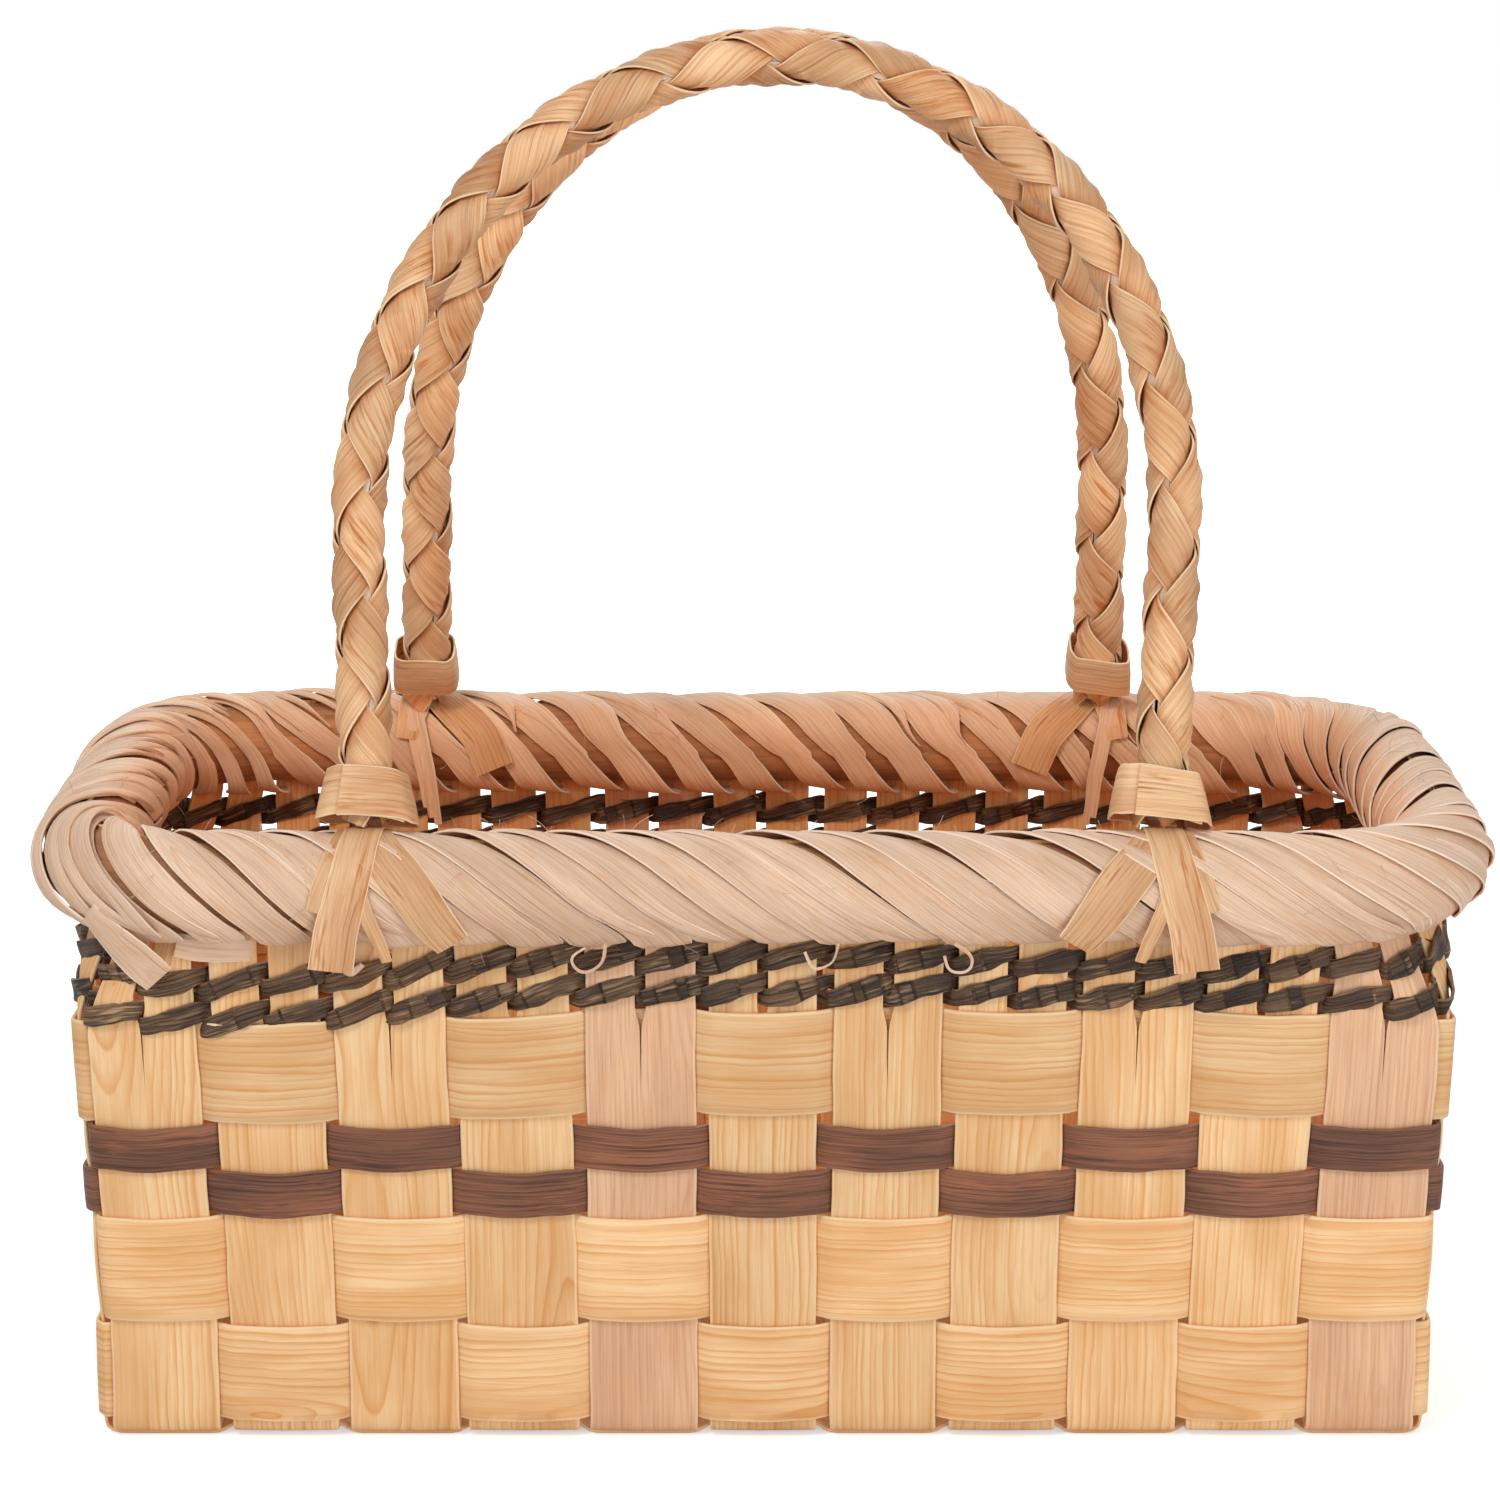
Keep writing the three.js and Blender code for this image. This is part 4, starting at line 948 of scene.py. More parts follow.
def bark_twine():
    side, places = round_the_walls(TWINE_STEP)
    run = np.arange(len(places)) * TWINE_STEP
    is_left = share(-60.0, -150.0, np.where(side == FRONT, places, 0.0))
    for row in (1, 2):
        middle = sum(box_mm(f"bark_twine_{row}a"))[2] / 2
        rise = front_rise(f"bark_twine_{row}", side, places, 10)
        for strand, sign in (("a", 1.0), ("b", -1.0)):
            node = f"bark_twine_{row}{strand}"
            seed = 60 + row * 2 + (strand == "b")
            wave = stake_wave(side, places, 2) * sign
            # The strand climbs where it is outside, so its height is a quarter turn behind the wave.
            ahead = stake_wave(side, places - HALF_PITCH / 2, 2) * sign
            climb = TWINE_CLIMB * np.arcsin(0.97 * ahead) / math.asin(0.97)
            heights = middle + climb + rise + 0.5 * waver(run, seed, 70.0)
            swell = np.maximum(wave, 0)
            out = TWINE_DEPTH * squared(wave, 6.5) + 0.25 * swell * waver(run, seed + 9, 23.0)
            spots, facing = wall(side, fanned(side, places, heights), heights, out)
            width = (sizes().twine_width / MM / 2 * (0.86 + 0.16 * swell)
                     * (1 + 0.14 * waver(run, seed + 20, 19.0)))
            across = towards(unit(np.cross(tangents(spots), facing)), (0, 0, 1))
            twist = column(0.4 * waver(run, seed + 30, 33.0))
            tilted = unit(across * np.cos(twist) + facing * np.sin(twist))
            tone = np.round(8 * (0.36 + 0.16 * waver(run, seed + 40, 47.0) + 0.3 * is_left)) / 8 + 0.06
            strip_piece(f"{node}_strand", [strip_path(spots, tilted * column(width), facing, tone)],
                        "basket", "dark_bark", seed, node, thickness=0.8, cup=0.25, edge_waver=0.6,
                        surface_waver=0.25, waver_length=7.0)


# Rim

def rim_hoops():
    side, places = round_the_walls(4.0)
    along = fanned(side, places, RIM_HEIGHT)
    radius = HOOP_RADIUS - HOOP_SLACK
    for name, sign in (("outer", 1.0), ("inner", -1.0)):
        sections = []
        for k in range(HOOP_FACETS + 1):
            angle = math.pi / 2 - k / HOOP_FACETS * math.pi
            spots, _ = wall(side, along, RIM_HEIGHT, sign * max(radius * math.cos(angle), HOOP_CHANNEL))
            spots[:, 2] += radius * math.sin(angle)
            sections.append(spots)
        ring_piece(f"rim_hoop_{name}", np.stack(sections, 1))


def ring_piece(node, sections):
    """A closed ring of wood through sections with equal numbers of corners."""
    rows, columns = sections.shape[:2]
    faces, places = [], []
    runs = length_along(sections[:, 0])
    widths = length_along(sections[0])
    for i in range(rows):
        j = (i + 1) % rows
        there = runs[i] + (runs[1] if j == 0 else runs[j] - runs[i])
        for k in range(columns):
            m = (k + 1) % columns
            faces.append((i * columns + k, j * columns + k, j * columns + m, i * columns + m))
            places += [(runs[i], widths[k]), (there, widths[k]),
                       (there, widths[k] + 1), (runs[i], widths[k] + 1)]
    grained_piece(node, "wood", sections.reshape(-1, 3), faces, places, 0.5, "hoop_wood")


def gap_place(gap):
    """The side and the place along it at rim height, for places counted in half-stake gaps all round."""
    rest = np.mod(gap, GAP_COUNT)
    side = np.searchsorted(FIRST_GAPS, rest, side="right") - 1
    half = COUNTS[side]
    along = (rest - FIRST_GAPS[side] - half) * HALF_PITCH * base_half(side) / (half * HALF_PITCH)
    return side, fanned(side, along, RIM_HEIGHT)


# A wrapping turn's course: degrees round the rim, from below over the outside and the top to the inside,
# and how many gaps its middle is ahead of the gap that it passes through
WRAP_DEGREES = (-180, -135, -90, -45, 0, 45, 90, 135, 180)
WRAP_AHEAD = (0.5, -0.05, -0.35, -0.62, -1.3, -2.05, -2.8, -3.7, -4.5)


@cache
def smooth_course():
    """The wrapping's course in small steps, rounded off between its corners."""
    degrees = np.linspace(-180, 180, 181)
    return degrees, soften(np.interp(degrees, WRAP_DEGREES, WRAP_AHEAD), 60)


def wrap_ahead(degrees, slant):
    """How far ahead of its gap a turn is, with its slant outside and over the top changed by a factor."""
    outside = eased(share(175, 95, degrees)) * eased(share(-90, -50, degrees))
    return np.interp(degrees, *smooth_course()) * (1 + (slant - 1) * outside)


def wrap_habit(gap):
    """How the wrapping is wound at a gap: its slant, and its width as a share of the usual. It is slack at
    the left end, and tight and steep at the right end of the front."""
    _, front, right, back = FIRST_GAPS
    gaps = (0, 4, front, right - 3, right + 3, back - 2, back + 3, GAP_COUNT)
    slant = np.interp(gap, gaps, (1.0, 1.02, 1.38, 1.2, 1.12, 1.12, 1.0, 1.0))
    width = np.interp(gap, gaps, (0.76, 1.04, 1.24, 1.2, 0.95, 0.93, 0.6, 0.58))
    return slant, width


def wrap_path(gaps_along, widths, lifts, angles, full, tone):
    """A strip over the rim. Each turn's leading edge lies under the next turn, and its other edge over the
    turn before."""
    right = np.exp(-((gaps_along - FIRST_STAKES[RIGHT] - FIRST_STAKES[BACK] - 2) / 9) ** 2)
    shingle = 0.75 * (1 - 0.45 * right) * np.clip(widths / full, 0, 1)
    low, _ = on_rim(*gap_place(gaps_along - widths / 2), WRAP_RADIUS + lifts + shingle, angles)
    high, _ = on_rim(*gap_place(gaps_along + widths / 2), WRAP_RADIUS + lifts - shingle, angles)
    _, facing = on_rim(*gap_place(gaps_along), WRAP_RADIUS, angles)
    return strip_path((low + high) / 2, (high - low) / 2, facing, tone)


def wrap_strip_path(first):
    """One strip of the rim's wrapping, wound on through every fifth gap, as one unbroken path."""
    turns = []
    full = sizes().wrap_width / MM / HALF_PITCH
    degrees = 180 - 360 / WRAP_STEPS * np.arange(WRAP_STEPS)
    near_pinch = np.cos(np.radians(degrees + 90)) * 0.5 + 0.5
    taper = eased(share(30, 4, np.abs(degrees + 90)))
    outside = eased(share(-90, -50, degrees))
    for gap in range(first, GAP_COUNT, WRAP_STRIPS):
        draw = draws(200 + gap)
        slant, width = wrap_habit(gap)
        ahead = wrap_ahead(degrees, slant + draw.uniform(-0.08, 0.08))
        slack = 2.2 if gap >= FIRST_GAPS[LEFT] - 1 or gap < 2 else 1.0
        ahead = ahead + draw.uniform(-0.12, 0.12) * slack * (1 - near_pinch)
        corners = [np.exp(-((gap + ahead - FIRST_GAPS[k]) / 2.6) ** 2) for k in (RIGHT, BACK)]
        width = width * (1 + 0.5 * sum(corners) * outside)
        if FIRST_GAPS[BACK] + 1 < gap < FIRST_GAPS[LEFT]:
            width = width * (1 - 0.2 * eased(share(105, 180, np.abs(degrees))))
        widths = full * width * draw.uniform(0.88, 1.08) * (1 - taper) + 0.16 * taper
        lifts = draw.uniform(0.0, 0.6) * np.sin(np.radians(np.clip(degrees + 60, 0, 180)))
        lifts = lifts + draw.uniform(0.2, 1.8) * np.exp(-((degrees + 68) / 16) ** 2)
        widths = widths * (1 - 0.15 * eased(share(30, -50, degrees)) * (1 - taper))
        if FIRST_GAPS[BACK] < gap < FIRST_GAPS[LEFT]:
            hang = draws(300 + gap).uniform(0.4, 3.2)
            lifts = lifts + hang * np.exp(-((np.mod(degrees, 360) - 222) / 24) ** 2)
        tones = np.full(len(degrees), draw.uniform(0.05, 0.95))
        turns.append((gap + ahead, widths, lifts, np.radians(degrees), tones))
    gaps_along, widths, lifts, angles, tones = (np.concatenate(part) for part in zip(*turns))
    # Each turn is a piece of its own tone, which changes where the strip is out of sight below the rim.
    return wrap_path(soften(gaps_along, 2), widths, lifts, angles, full, np.roll(tones, -WRAP_STEPS // 4))


def wrap_lanes(gap):
    """Narrow strips that lie over a turn, where the wrapping's strips have split or were wound twice."""
    draw = draws(900 + gap)
    slant, _ = wrap_habit(gap)
    bunched = gap >= FIRST_GAPS[LEFT] - 2 or gap < 3
    count = 2 if bunched else int(draw.random() < (0.5 if gap > FIRST_GAPS[RIGHT] - 3 else 0.3))
    paths = []
    for k in range(count):
        low, high = draw.uniform(-84, -66), draw.uniform(120, 175)
        degrees = np.linspace(high, low, 36)
        part = share(low, high, degrees)
        ahead = wrap_ahead(degrees, slant + draw.uniform(-0.12, 0.12))
        aside = (-0.3 + 0.55 * k + draw.uniform(-0.15, 0.15)) * eased(share(0, 0.35, part))
        widths = (draw.uniform(0.22, 0.5) * eased(share(-0.02, 0.22, part))
                  * eased(share(1.0, 0.7, part)) + 0.04)
        rise = draw.uniform(0.3, 1.4 if bunched else 0.7)
        lifts = 0.3 + rise * eased(share(0, 0.2, part)) * eased(share(1.0, 0.85, part))
        paths.append(wrap_path(gap + ahead + aside, widths, lifts, np.radians(degrees), 3.0,
                               draw.uniform(0.2, 0.8)))
    return paths


def rim_wrapping():
    for strip in range(WRAP_STRIPS):
        lanes = [wrap_lanes(gap) for gap in range(strip, GAP_COUNT, WRAP_STRIPS)]
        node = f"rim_wrap_{strip + 1}"
        strip_piece(f"{node}_strip", [wrap_strip_path(strip), *sum(lanes, [])], "basket", "rim_bast",
                    80 + strip, node, thickness=sizes().wrap_thickness / MM, cup=0.3, edge_waver=0.5,
                    surface_waver=0.24, waver_length=12.0)


def loose_fibres():
    surface = bpy.data.objects["rim_wrap_1_strip"].data.copy()
    joined = bmesh.new()
    for strip in range(WRAP_STRIPS):
        joined.from_mesh(bpy.data.objects[f"rim_wrap_{strip + 1}_strip"].data)
    joined.to_mesh(surface)
    joined.free()
    surface.materials.clear()
    obj = new_object("rim_loose_fibres", surface)
    run_tree(obj, fibre_tree, {
        "Density": sizes().fibre_density, "Length": 5.0 * MM, "Radius": 0.07 * MM, "Seed": sizes().seed,
        "Material": finish_of("rim_bast")})
    settle(obj, "basket")


# Handles

STRAND_TONES = (0.15, 0.8, 0.45, 0.95)
LINE_STEPS = 400


def handle_point(end, x, up, out):
    """From a handle's plane to the basket. The two planes are mirror images."""
    x, up, out = np.broadcast_arrays(np.asarray(x, float), up, out)
    from_middle = RIM_HALF[1] - up * math.sin(HANDLE_LEAN) + out * math.cos(HANDLE_LEAN)
    height = RIM_HEIGHT + up * math.cos(HANDLE_LEAN) + out * math.sin(HANDLE_LEAN)
    return np.stack([x, -from_middle if end == "front" else from_middle, height], -1)


def handle_way(end, x, out):
    """A direction, from its shares across a handle's plane and out of it."""
    return handle_point(end, x, 0.0, out) - handle_point(end, 0.0, 0.0, 0.0)


def handle_line(end):
    """A handle's middle line, from its left foot over the arch to its right foot, in even steps."""
    foot, half, start = LEG_AT_RIM[end], LEG_AT_ARCH[end], ARCH_START[end]
    leg = np.linspace(0, 1, 40)[:-1]
    angle = np.linspace(math.pi, 0, 120)
    x = np.concatenate([-(foot + (half - foot) * leg), half * np.cos(angle), half + (foot - half) * leg])
    x[-1] = foot
    rising = FOOT_START + (start - FOOT_START) * leg
    up = np.concatenate([rising, start + (HANDLE_REACH - start) * np.sin(angle), rising[::-1]])
    x, up = soften(x, 12), soften(up, 12)
    line = handle_point(end, x + ARCH_SIDE_LEAN * (up / HANDLE_REACH) ** 2, up, 0.0)
    run = length_along(line)
    even = np.linspace(0, run[-1], LINE_STEPS)
    return np.stack([np.interp(even, run, line[:, axis]) for axis in range(3)], -1)


def braids():
    for end in LEG_AT_RIM:
        line = handle_line(end)
        length = length_along(line)[-1]
        for k, tone in enumerate(STRAND_TONES):
            node = f"{end}_braid_strand_{k + 1}"
            mesh = bpy.data.meshes.new(node)
            mesh.from_pydata((line * MM).tolist(), [(i, i + 1) for i in range(LINE_STEPS - 1)], [])
            obj = new_object(f"{node}_strip", mesh)
            run_tree(obj, braid_tree, {
                "Out Direction": tuple(handle_way(end, 0.0, 1.0)), "Length": length * MM,
                "Spacing": length / (4 * BRAID_TURNS) * MM, "Turn": 1.0 if k < 2 else -1.0,
                "Start Angle": k % 2 * math.pi, "Phase": 0.5, "Radius": BRAID_RADIUS * MM,
                "Over and Under": BRAID_OVER * MM, "Half Width": sizes().strand_width / 2,
                "Thickness": sizes().strand_thickness, "Looseness": 0.4 * MM, "Cup": 0.5 * MM,
                "Seed": 11.0 * (k + 1) + (0.0 if end == "front" else 50.0), "Steps": 420,
                "Material": finish_of("braid_bast")})
            # Painted light: the back handle's strands take tones half a step higher, which also changes their
            # grain and lightens their colour in place of the light they lack
            put_attribute(obj.data, "tone", np.full(
                len(obj.data.vertices), tone + (0.0 if end == "front" else 0.5)))
            tidy_mesh(obj)
            settle(obj, f"{end}_handle", node)
        core_bundle(end, line)


def core_bundle(end, line):
    """The bundle of thin strips inside a braid."""
    outward = np.tile(handle_way(end, 0.0, 1.0), (len(line), 1))
    inward = unit(np.cross(outward, tangents(line)))
    run = length_along(line)
    paths = []
    for k in range(CORE_STRIPS):
        angle = 2 * math.pi * k / CORE_STRIPS + run / 260.0 + 0.12 * waver(run, 400 + k, 60.0)
        radius = CORE_RADIUS + 0.2 * waver(run, 420 + k, 50.0)
        cosine, sine = column(np.cos(angle)), column(np.sin(angle))
        spoke = inward * cosine + outward * sine
        side = outward * cosine - inward * sine
        paths.append(strip_path(line + spoke * column(radius), side * 1.75, spoke, 0.3 + 0.05 * k))
    strip_piece(f"{end}_handle_core_bundle", paths, f"{end}_handle", "rim_bast", 5, f"{end}_handle_core",
                thickness=0.5, cup=0.2)


# Feet

# A collar's height above the rim and half width at its lower and at its upper edge, and its half depth
COLLARS = {"front": ((16.0, 12.3), (28.3, 9.5), 7.6), "back": ((20.5, 8.6), (31.0, 8.0), 7.2)}

# The strips at a foot. Each point is (away from the foot towards the basket's end, degrees round the rim,
# height above the wrapping, full width, drop below the rim).
TAILS = {
    "front": {
        "over": [((0, 118, 0.8, 9.0, 0), (0.5, 80, 0.7, 9.4, 0), (2, 40, 0.6, 9.8, 0), (4, 5, 0.8, 10.2, 0),
                  (6.5, -18, 1.3, 10.6, 3), (8.0, -30, 1.9, 11, 10))],
        "under": [((-2, 125, 0.1, 10.0, 0), (-1, 80, 0.0, 10.5, 0), (-5, 45, 0.0, 11, 0),
                   (-11, 14, 0.2, 11.4, 0), (-17, -14, 0.8, 11.0, 2), (-21.5, -30, 1.0, 9.5, 4)),
                  ((3, 90, 0.2, 8.0, 0), (5, 50, 0.2, 8.0, 0), (8.5, 15, 0.3, 7.0, 0), (11, -8, 0.6, 5.0, 1)),
                  ((1.5, 20, 0.2, 3.4, 0), (-0.5, -10, 0.9, 3.6, 0), (-3.5, -32, 1.6, 3.4, 2),
                   (-5.5, -42, 1.4, 2.6, 6))],
    },
    "back": {
        "over": [((1, 60, 1.3, 9, 0), (1.5, 95, 1.6, 9, 0), (3.5, 130, 1.2, 8, 0), (5, 165, 1.0, 6, 0))],
        "under": [((-1, 55, 0.2, 9.5, 0), (-1.5, 95, 0.3, 10, 0), (-8, 130, 0.3, 10.5, 0),
                   (-15, 160, 0.8, 10.5, 0), (-19, 178, 1.4, 10.5, 5))],
    },
}
THIN_ENDS = [
    ((2.6 + a, 70, 0.5, 2.6, 0), (3.0 + a, 105, 1.3, 2.6, 0), (1.5 + b, 145, 1.6, 2.5, 0),
     (-1.5 + b, 176, 1.9, 2.3, 6), (-3.2 + b, 184, 1.7, 2.0, drop))
    for a, b, drop in ((0.0, 0.0, 19.0), (2.7, 1.8, 17.0), (-2.6, 2.9, 14.0))]

# Ends of the wrapping that show outside the front wall. Each point is (along the wall, height, distance out,
# full width, lean away from the wall).
FRAYED_ENDS = (
    ((-123.5, 127.5, 0.2, 5.4, 0), (-130, 128.0, 1.4, 6.2, 0), (-137, 128.4, 1.9, 6.4, 0.1),
     (-143.5, 129.5, 2.6, 6.0, 0.2)),
    ((-163, 138, 13.0, 8.0, 0.2), (-157, 131, 10.5, 9.5, 0.1), (-151, 125.5, 6.5, 10.0, 0),
     (-146.5, 121.5, 4.2, 8.4, 0)),
    ((-103, 132, 9.0, 3.0, 0.3), (-102, 126, 6.5, 2.6, 0.5), (-100, 122.6, 5.2, 2.0, 0.6),
     (-97, 125.5, 5.2, 1.4, 0.4)),
    ((-38, 132, 10.0, 0.8, 0), (-38.5, 126.0, 7.5, 0.7, 0.2), (-44, 122.8, 6.6, 0.7, 0.5),
     (-47.5, 127.4, 6.6, 0.6, 0.6), (-43, 130, 7.0, 0.5, 0.4)),
    ((18, 132, 10.0, 0.7, 0), (17, 126.2, 7.0, 0.7, 0.2), (12.0, 124.0, 6.6, 0.6, 0.5),
     (10, 129.0, 6.6, 0.5, 0.5)),
    ((46, 132, 10.0, 0.8, 0), (51, 128.0, 7.6, 0.7, 0.2), (49.5, 123.4, 6.4, 0.7, 0.5),
     (44.5, 123.6, 6.4, 0.6, 0.4), (43.6, 128, 6.6, 0.5, 0.4)),
)


def smooth_through(points, steps=40, rounds=6):
    """Each of the points' values in turn, along a smooth line through the given points."""
    fine = np.linspace(0, len(points) - 1, steps)
    return [soften(np.interp(fine, range(len(points)), values), rounds) for values in zip(*points)]


def lying_strip(side, middle, outer, points, tone):
    """A strip that lies over the rim at the foot whose middle is given."""
    away, degrees, lift, width, drop = smooth_through(points)
    spots, facing = on_rim(side, middle + outer * away, WRAP_RADIUS + 0.75 + lift, np.radians(degrees))
    spots[:, 2] -= drop
    across = unit(np.cross(facing, tangents(spots)))
    return strip_path(spots, across * column(width) / 2, facing, tone)


def collar_path(end, sign):
    """The band folded round the foot of a handle's leg, which laps over its own start behind the leg."""
    low, high, depth = COLLARS[end]
    seed = (1 if end == "front" else 3) + (sign > 0)
    tilt = draws(500 + seed).uniform(-1.5, 1.5)
    angle = np.radians(np.linspace(60, 460, 90))
    layer = 0.75 * eased(share(math.radians(380), math.radians(430), angle))
    u = np.sign(np.cos(angle)) * np.abs(np.cos(angle)) ** 0.38
    w = np.sign(np.sin(angle)) * np.abs(np.sin(angle)) ** 0.6
    edges = []
    for (up, half_width), flare in ((low, 0.5), (high, 0.0)):
        heights = up + tilt * u - 0.6 * u ** 2 + 0.3 * waver(angle * 10, seed + 3, 23.0)
        edges.append(handle_point(end, sign * LEG_AT_RIM[end] + u * (half_width + layer), heights,
                                  w * (depth + layer + flare)))
    return strip_path((edges[0] + edges[1]) / 2, (edges[1] - edges[0]) / 2, handle_way(end, u, w),
                      0.4 + 0.1 * seed)


def feet():
    for end, side in (("front", FRONT), ("back", BACK)):
        for sign, place in ((-1, "left"), (1, "right")):
            outer = sign if end == "front" else -sign
            node = f"{end}_{place}_collar"
            strip_piece(f"{node}_band", [collar_path(end, sign)], f"{end}_handle", "braid_bast", 70 + sign,
                        node, thickness=0.6, cup=0.2, edge_waver=0.3, surface_waver=0.15, waver_length=9.0)
            for kind, tone in (("over", 0.55), ("under", 0.35)):
                paths = [lying_strip(side, outer * LEG_AT_RIM[end], outer, points, tone + 0.13 * k)
                         for k, points in enumerate(TAILS[end][kind])]
                node = f"{end}_{place}_{kind}_tail"
                strip_piece(f"{node}_end", paths, "basket", "braid_bast", 90 + sign, node, thickness=0.6,
                            cup=0.15, edge_waver=0.3, surface_waver=0.2, waver_length=12.0)
    thin_ends()


def thin_ends():
    """Thin ends of the back handle's core that hang inside the back rim, and ends of the wrapping."""
    paths = [lying_strip(BACK, outer * LEG_AT_RIM["back"], outer, points, 0.3 + 0.2 * k)
             for outer, count in ((1, 3), (-1, 2)) for k, points in enumerate(THIN_ENDS[:count])]
    for points in FRAYED_ENDS:
        along, height, out, width, lean = smooth_through(points, rounds=26)
        spots, facing = wall(FRONT, along, height, out)
        across = unit(np.cross(facing, tangents(spots)) + facing * column(lean))
        paths.append(strip_path(spots, across * column(width) / 2, facing, 0.5))
    strip_piece("bast_ends", paths, "basket", "rim_bast", 97, thickness=0.5, cup=0.15, edge_waver=0.5,
                surface_waver=0.3, waver_length=11.0)


# Stage, in metres

CAMERA_PLACE = (-0.0033, -1.117, 0.4159)
CAMERA_DOWN = 12.94
FOCAL_LENGTH = 106.4
FLOOR_REACH = 3.0
WHITE = (1, 1, 1, 1)
# Each light's place, the height it points at over the basket's middle, its size and its power
LIGHTS = {
    "key": ((-0.6, -1.05, 1.3), 0.12, 0.5, 8.8),
    "fill": ((0.7, -1.1, 0.14), 0.05, 0.8, 5.6),
    "back": ((0.2, 1.0, 1.1), 0.15, 0.8, 5.0),
}


def stage():
    scene = bpy.context.scene
    camera = new_object("camera", bpy.data.cameras.new("camera"))
    camera.location = CAMERA_PLACE
    camera.rotation_euler = (math.radians(90 - CAMERA_DOWN), 0, 0)
    camera.data.lens = FOCAL_LENGTH
    camera.data.sensor_width = 36.0
    camera.data.clip_start = 0.05
    scene.camera = camera

    floor_mesh = bpy.data.meshes.new("floor")
    floor_mesh.from_pydata([(x * FLOOR_REACH, y * FLOOR_REACH, 0) for x, y in (
        (-1, -1), (1, -1), (1, 1), (-1, 1))], [], [(0, 1, 2, 3)])
    floor_mesh.materials.append(floor_finish())
    new_object("floor", floor_mesh)

    scene.world = bpy.data.worlds.new("studio")
    nodes = emptied(scene.world)
    camera_ray, glossy, through = nodes.outs("ShaderNodeLightPath", (
        "Is Camera Ray", "Is Glossy Ray", "Is Transmission Ray"))
    seen = nodes.math("MAXIMUM", camera_ray, nodes.math("MAXIMUM", glossy, through))
    nodes.add("ShaderNodeOutputWorld", {"Surface": nodes.out("ShaderNodeBackground", {
        "Color": WHITE, "Strength": seen * 0.47 + 0.53})})

    for name, (place, height, size, power) in LIGHTS.items():
        area_light(name, place, (0, 0, height), size, power)
    scene.view_settings.view_transform = "Standard"


def area_light(name, place, target, size, power):
    data = bpy.data.lights.new(name, "AREA")
    data.shape = "DISK"
    data.size = size
    data.energy = power
    light = new_object(name, data)
    light.location = place
    way = unit(np.subtract(target, place))
    light.rotation_euler = (math.acos(-way[2]), 0, math.atan2(way[1], way[0]) - math.pi / 2)


def floor_finish():
    material = bpy.data.materials.new("pale_floor")
    nodes = emptied(material)
    place = nodes.out("ShaderNodeTexCoord", output="Object")
    glow = nodes.ramp(nodes.vector("LENGTH", place), 0.25, 1.2) * 0.8 + 0.5
    surface = nodes.out("ShaderNodeBsdfPrincipled", {
        "Base Color": (0.86, 0.86, 0.86, 1), "Roughness": 0.9, "Emission Color": WHITE,
        "Emission Strength": nodes.out("ShaderNodeLightPath", output="Is Camera Ray") * glow})
    nodes.add("ShaderNodeOutputMaterial", {"Surface": surface})
    return material


# Operators and panel

class BasketStep(bpy.types.Operator):
    bl_options = {"REGISTER", "UNDO"}
    makers = ()

    def execute(self, context):
        for maker in self.makers:
            maker()
        return {"FINISHED"}


class BASKET_OT_stakes(BasketStep):
    """Makes the splints that run down the walls and across the base"""
    bl_idname = "basket.stakes"
    bl_label = "Stakes"
    makers = (cross_stakes, long_stakes)


class BASKET_OT_weavers(BasketStep):
    """Weaves the wide and the brown bands round the walls"""
    bl_idname = "basket.weavers"
    bl_label = "Weavers"
    makers = (weavers,)


class BASKET_OT_twine(BasketStep):
    """Twines the two rows of dark bark"""
    bl_idname = "basket.twine"
    bl_label = "Bark Twine"
    makers = (bark_twine,)


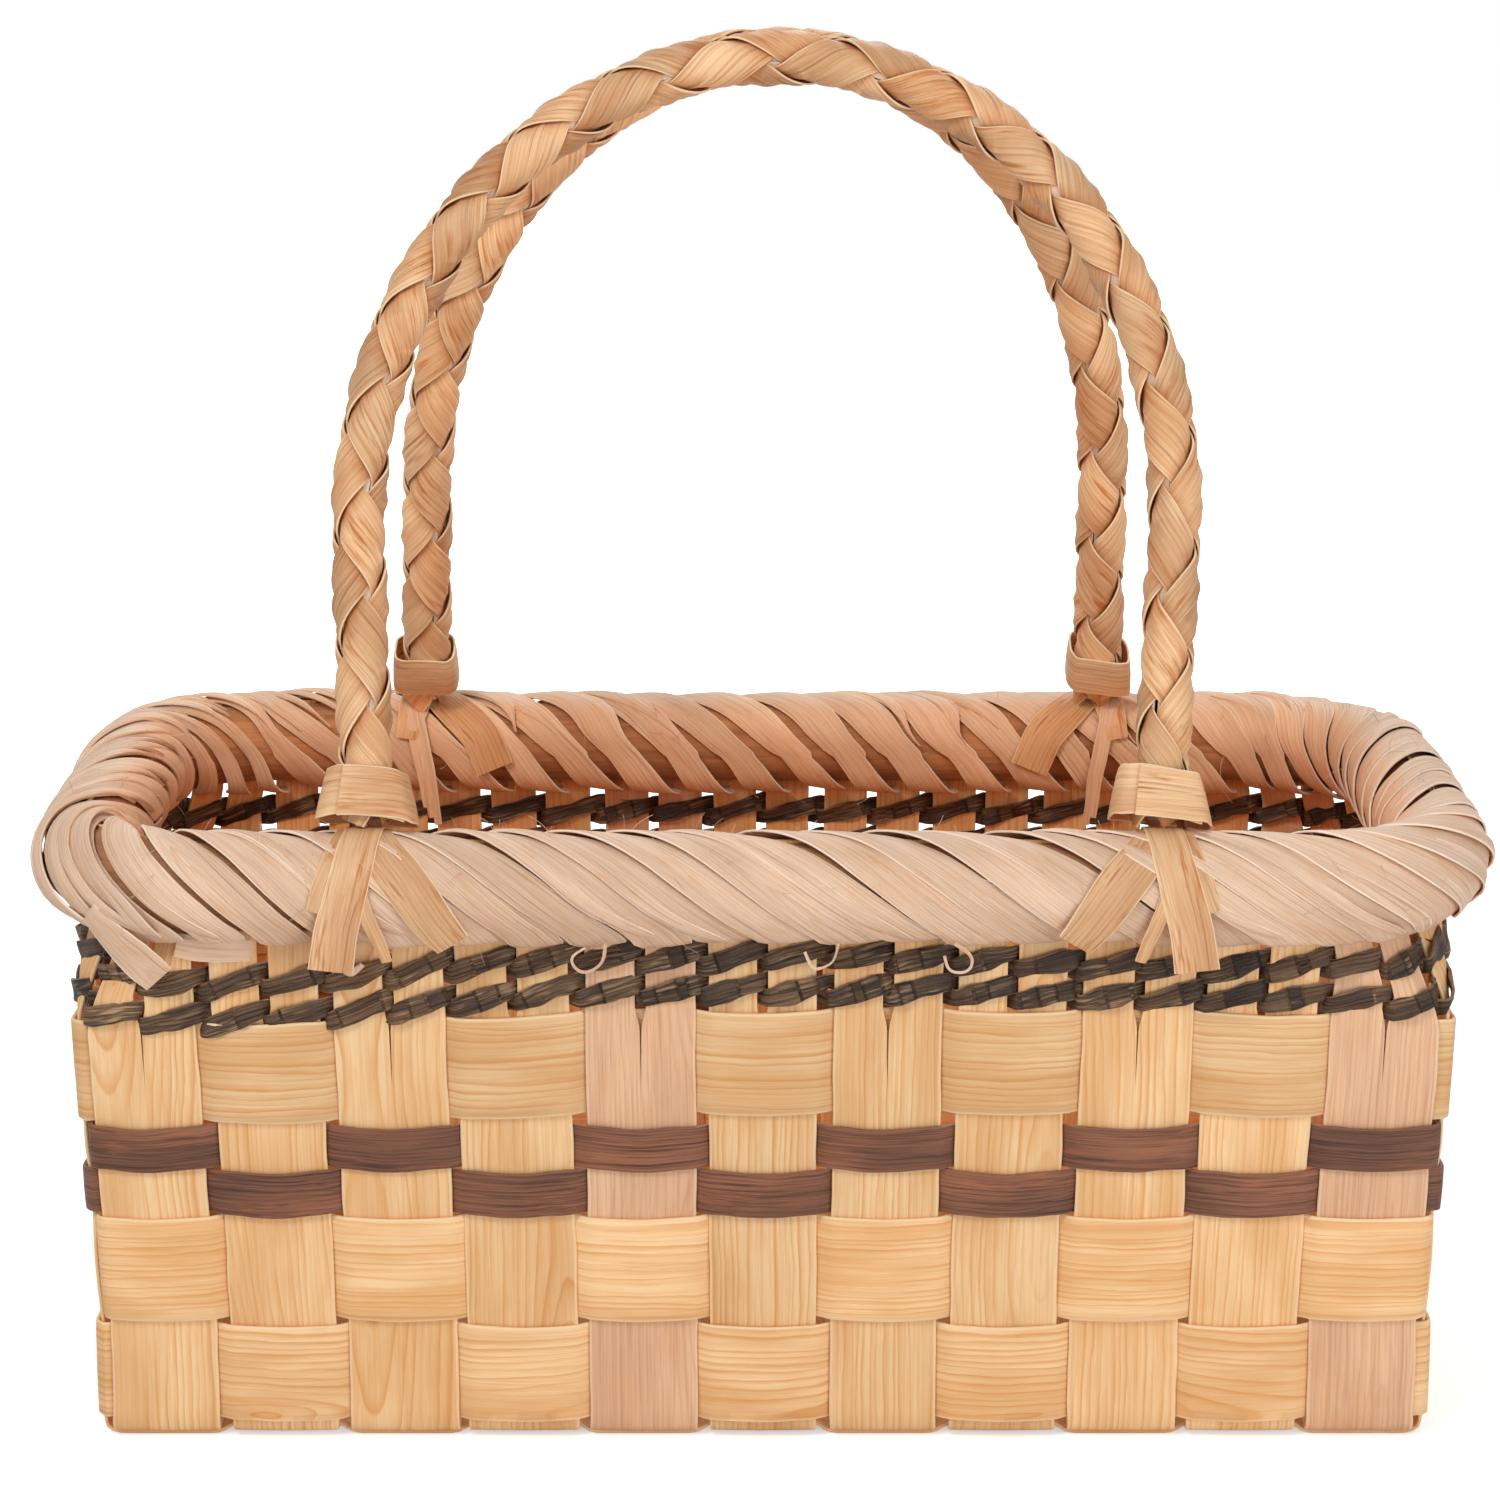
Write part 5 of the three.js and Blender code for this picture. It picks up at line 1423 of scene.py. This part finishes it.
class BASKET_OT_hoops(BasketStep):
    """Makes the two hoops inside the rim"""
    bl_idname = "basket.hoops"
    bl_label = "Rim Hoops"
    makers = (rim_hoops,)


class BASKET_OT_wrapping(BasketStep):
    """Winds the rim's wrapping and its loose fibres"""
    bl_idname = "basket.wrapping"
    bl_label = "Rim Wrapping"
    makers = (rim_wrapping, loose_fibres)


class BASKET_OT_braids(BasketStep):
    """Braids the two handles round their cores"""
    bl_idname = "basket.braids"
    bl_label = "Handles"
    makers = (braids,)


class BASKET_OT_feet(BasketStep):
    """Makes the collars and tails that tie the handles to the rim"""
    bl_idname = "basket.feet"
    bl_label = "Handle Feet"
    makers = (feet,)


class BASKET_OT_stage(BasketStep):
    """Sets the camera, the floor and the studio light"""
    bl_idname = "basket.stage"
    bl_label = "Stage"
    makers = (stage,)


OPERATORS = (BASKET_OT_stage, BASKET_OT_stakes, BASKET_OT_weavers, BASKET_OT_twine, BASKET_OT_hoops,
             BASKET_OT_wrapping, BASKET_OT_braids, BASKET_OT_feet)


class BASKET_PT_panel(bpy.types.Panel):
    bl_label = "Picnic Basket"
    bl_idname = "BASKET_PT_panel"
    bl_space_type = "VIEW_3D"
    bl_region_type = "UI"
    bl_category = "Basket"

    def draw(self, context):
        for group in (context.scene.basket_sizes, context.scene.basket_colours):
            for name in group.__annotations__:
                self.layout.prop(group, name)
        for operator in OPERATORS:
            self.layout.operator(operator.bl_idname)


CLASSES = (BasketSizes, BasketColours, *OPERATORS, BASKET_PT_panel)


def register():
    for made in CLASSES:
        bpy.utils.register_class(made)
    bpy.types.Scene.basket_sizes = PointerProperty(type=BasketSizes)
    bpy.types.Scene.basket_colours = PointerProperty(type=BasketColours)


def unregister():
    del bpy.types.Scene.basket_sizes
    del bpy.types.Scene.basket_colours
    for made in reversed(CLASSES):
        bpy.utils.unregister_class(made)


def main():
    register()
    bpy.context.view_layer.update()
    for operator in OPERATORS:
        family, name = operator.bl_idname.split(".")
        getattr(getattr(bpy.ops, family), name)()


if __name__ == "__main__":
    main()
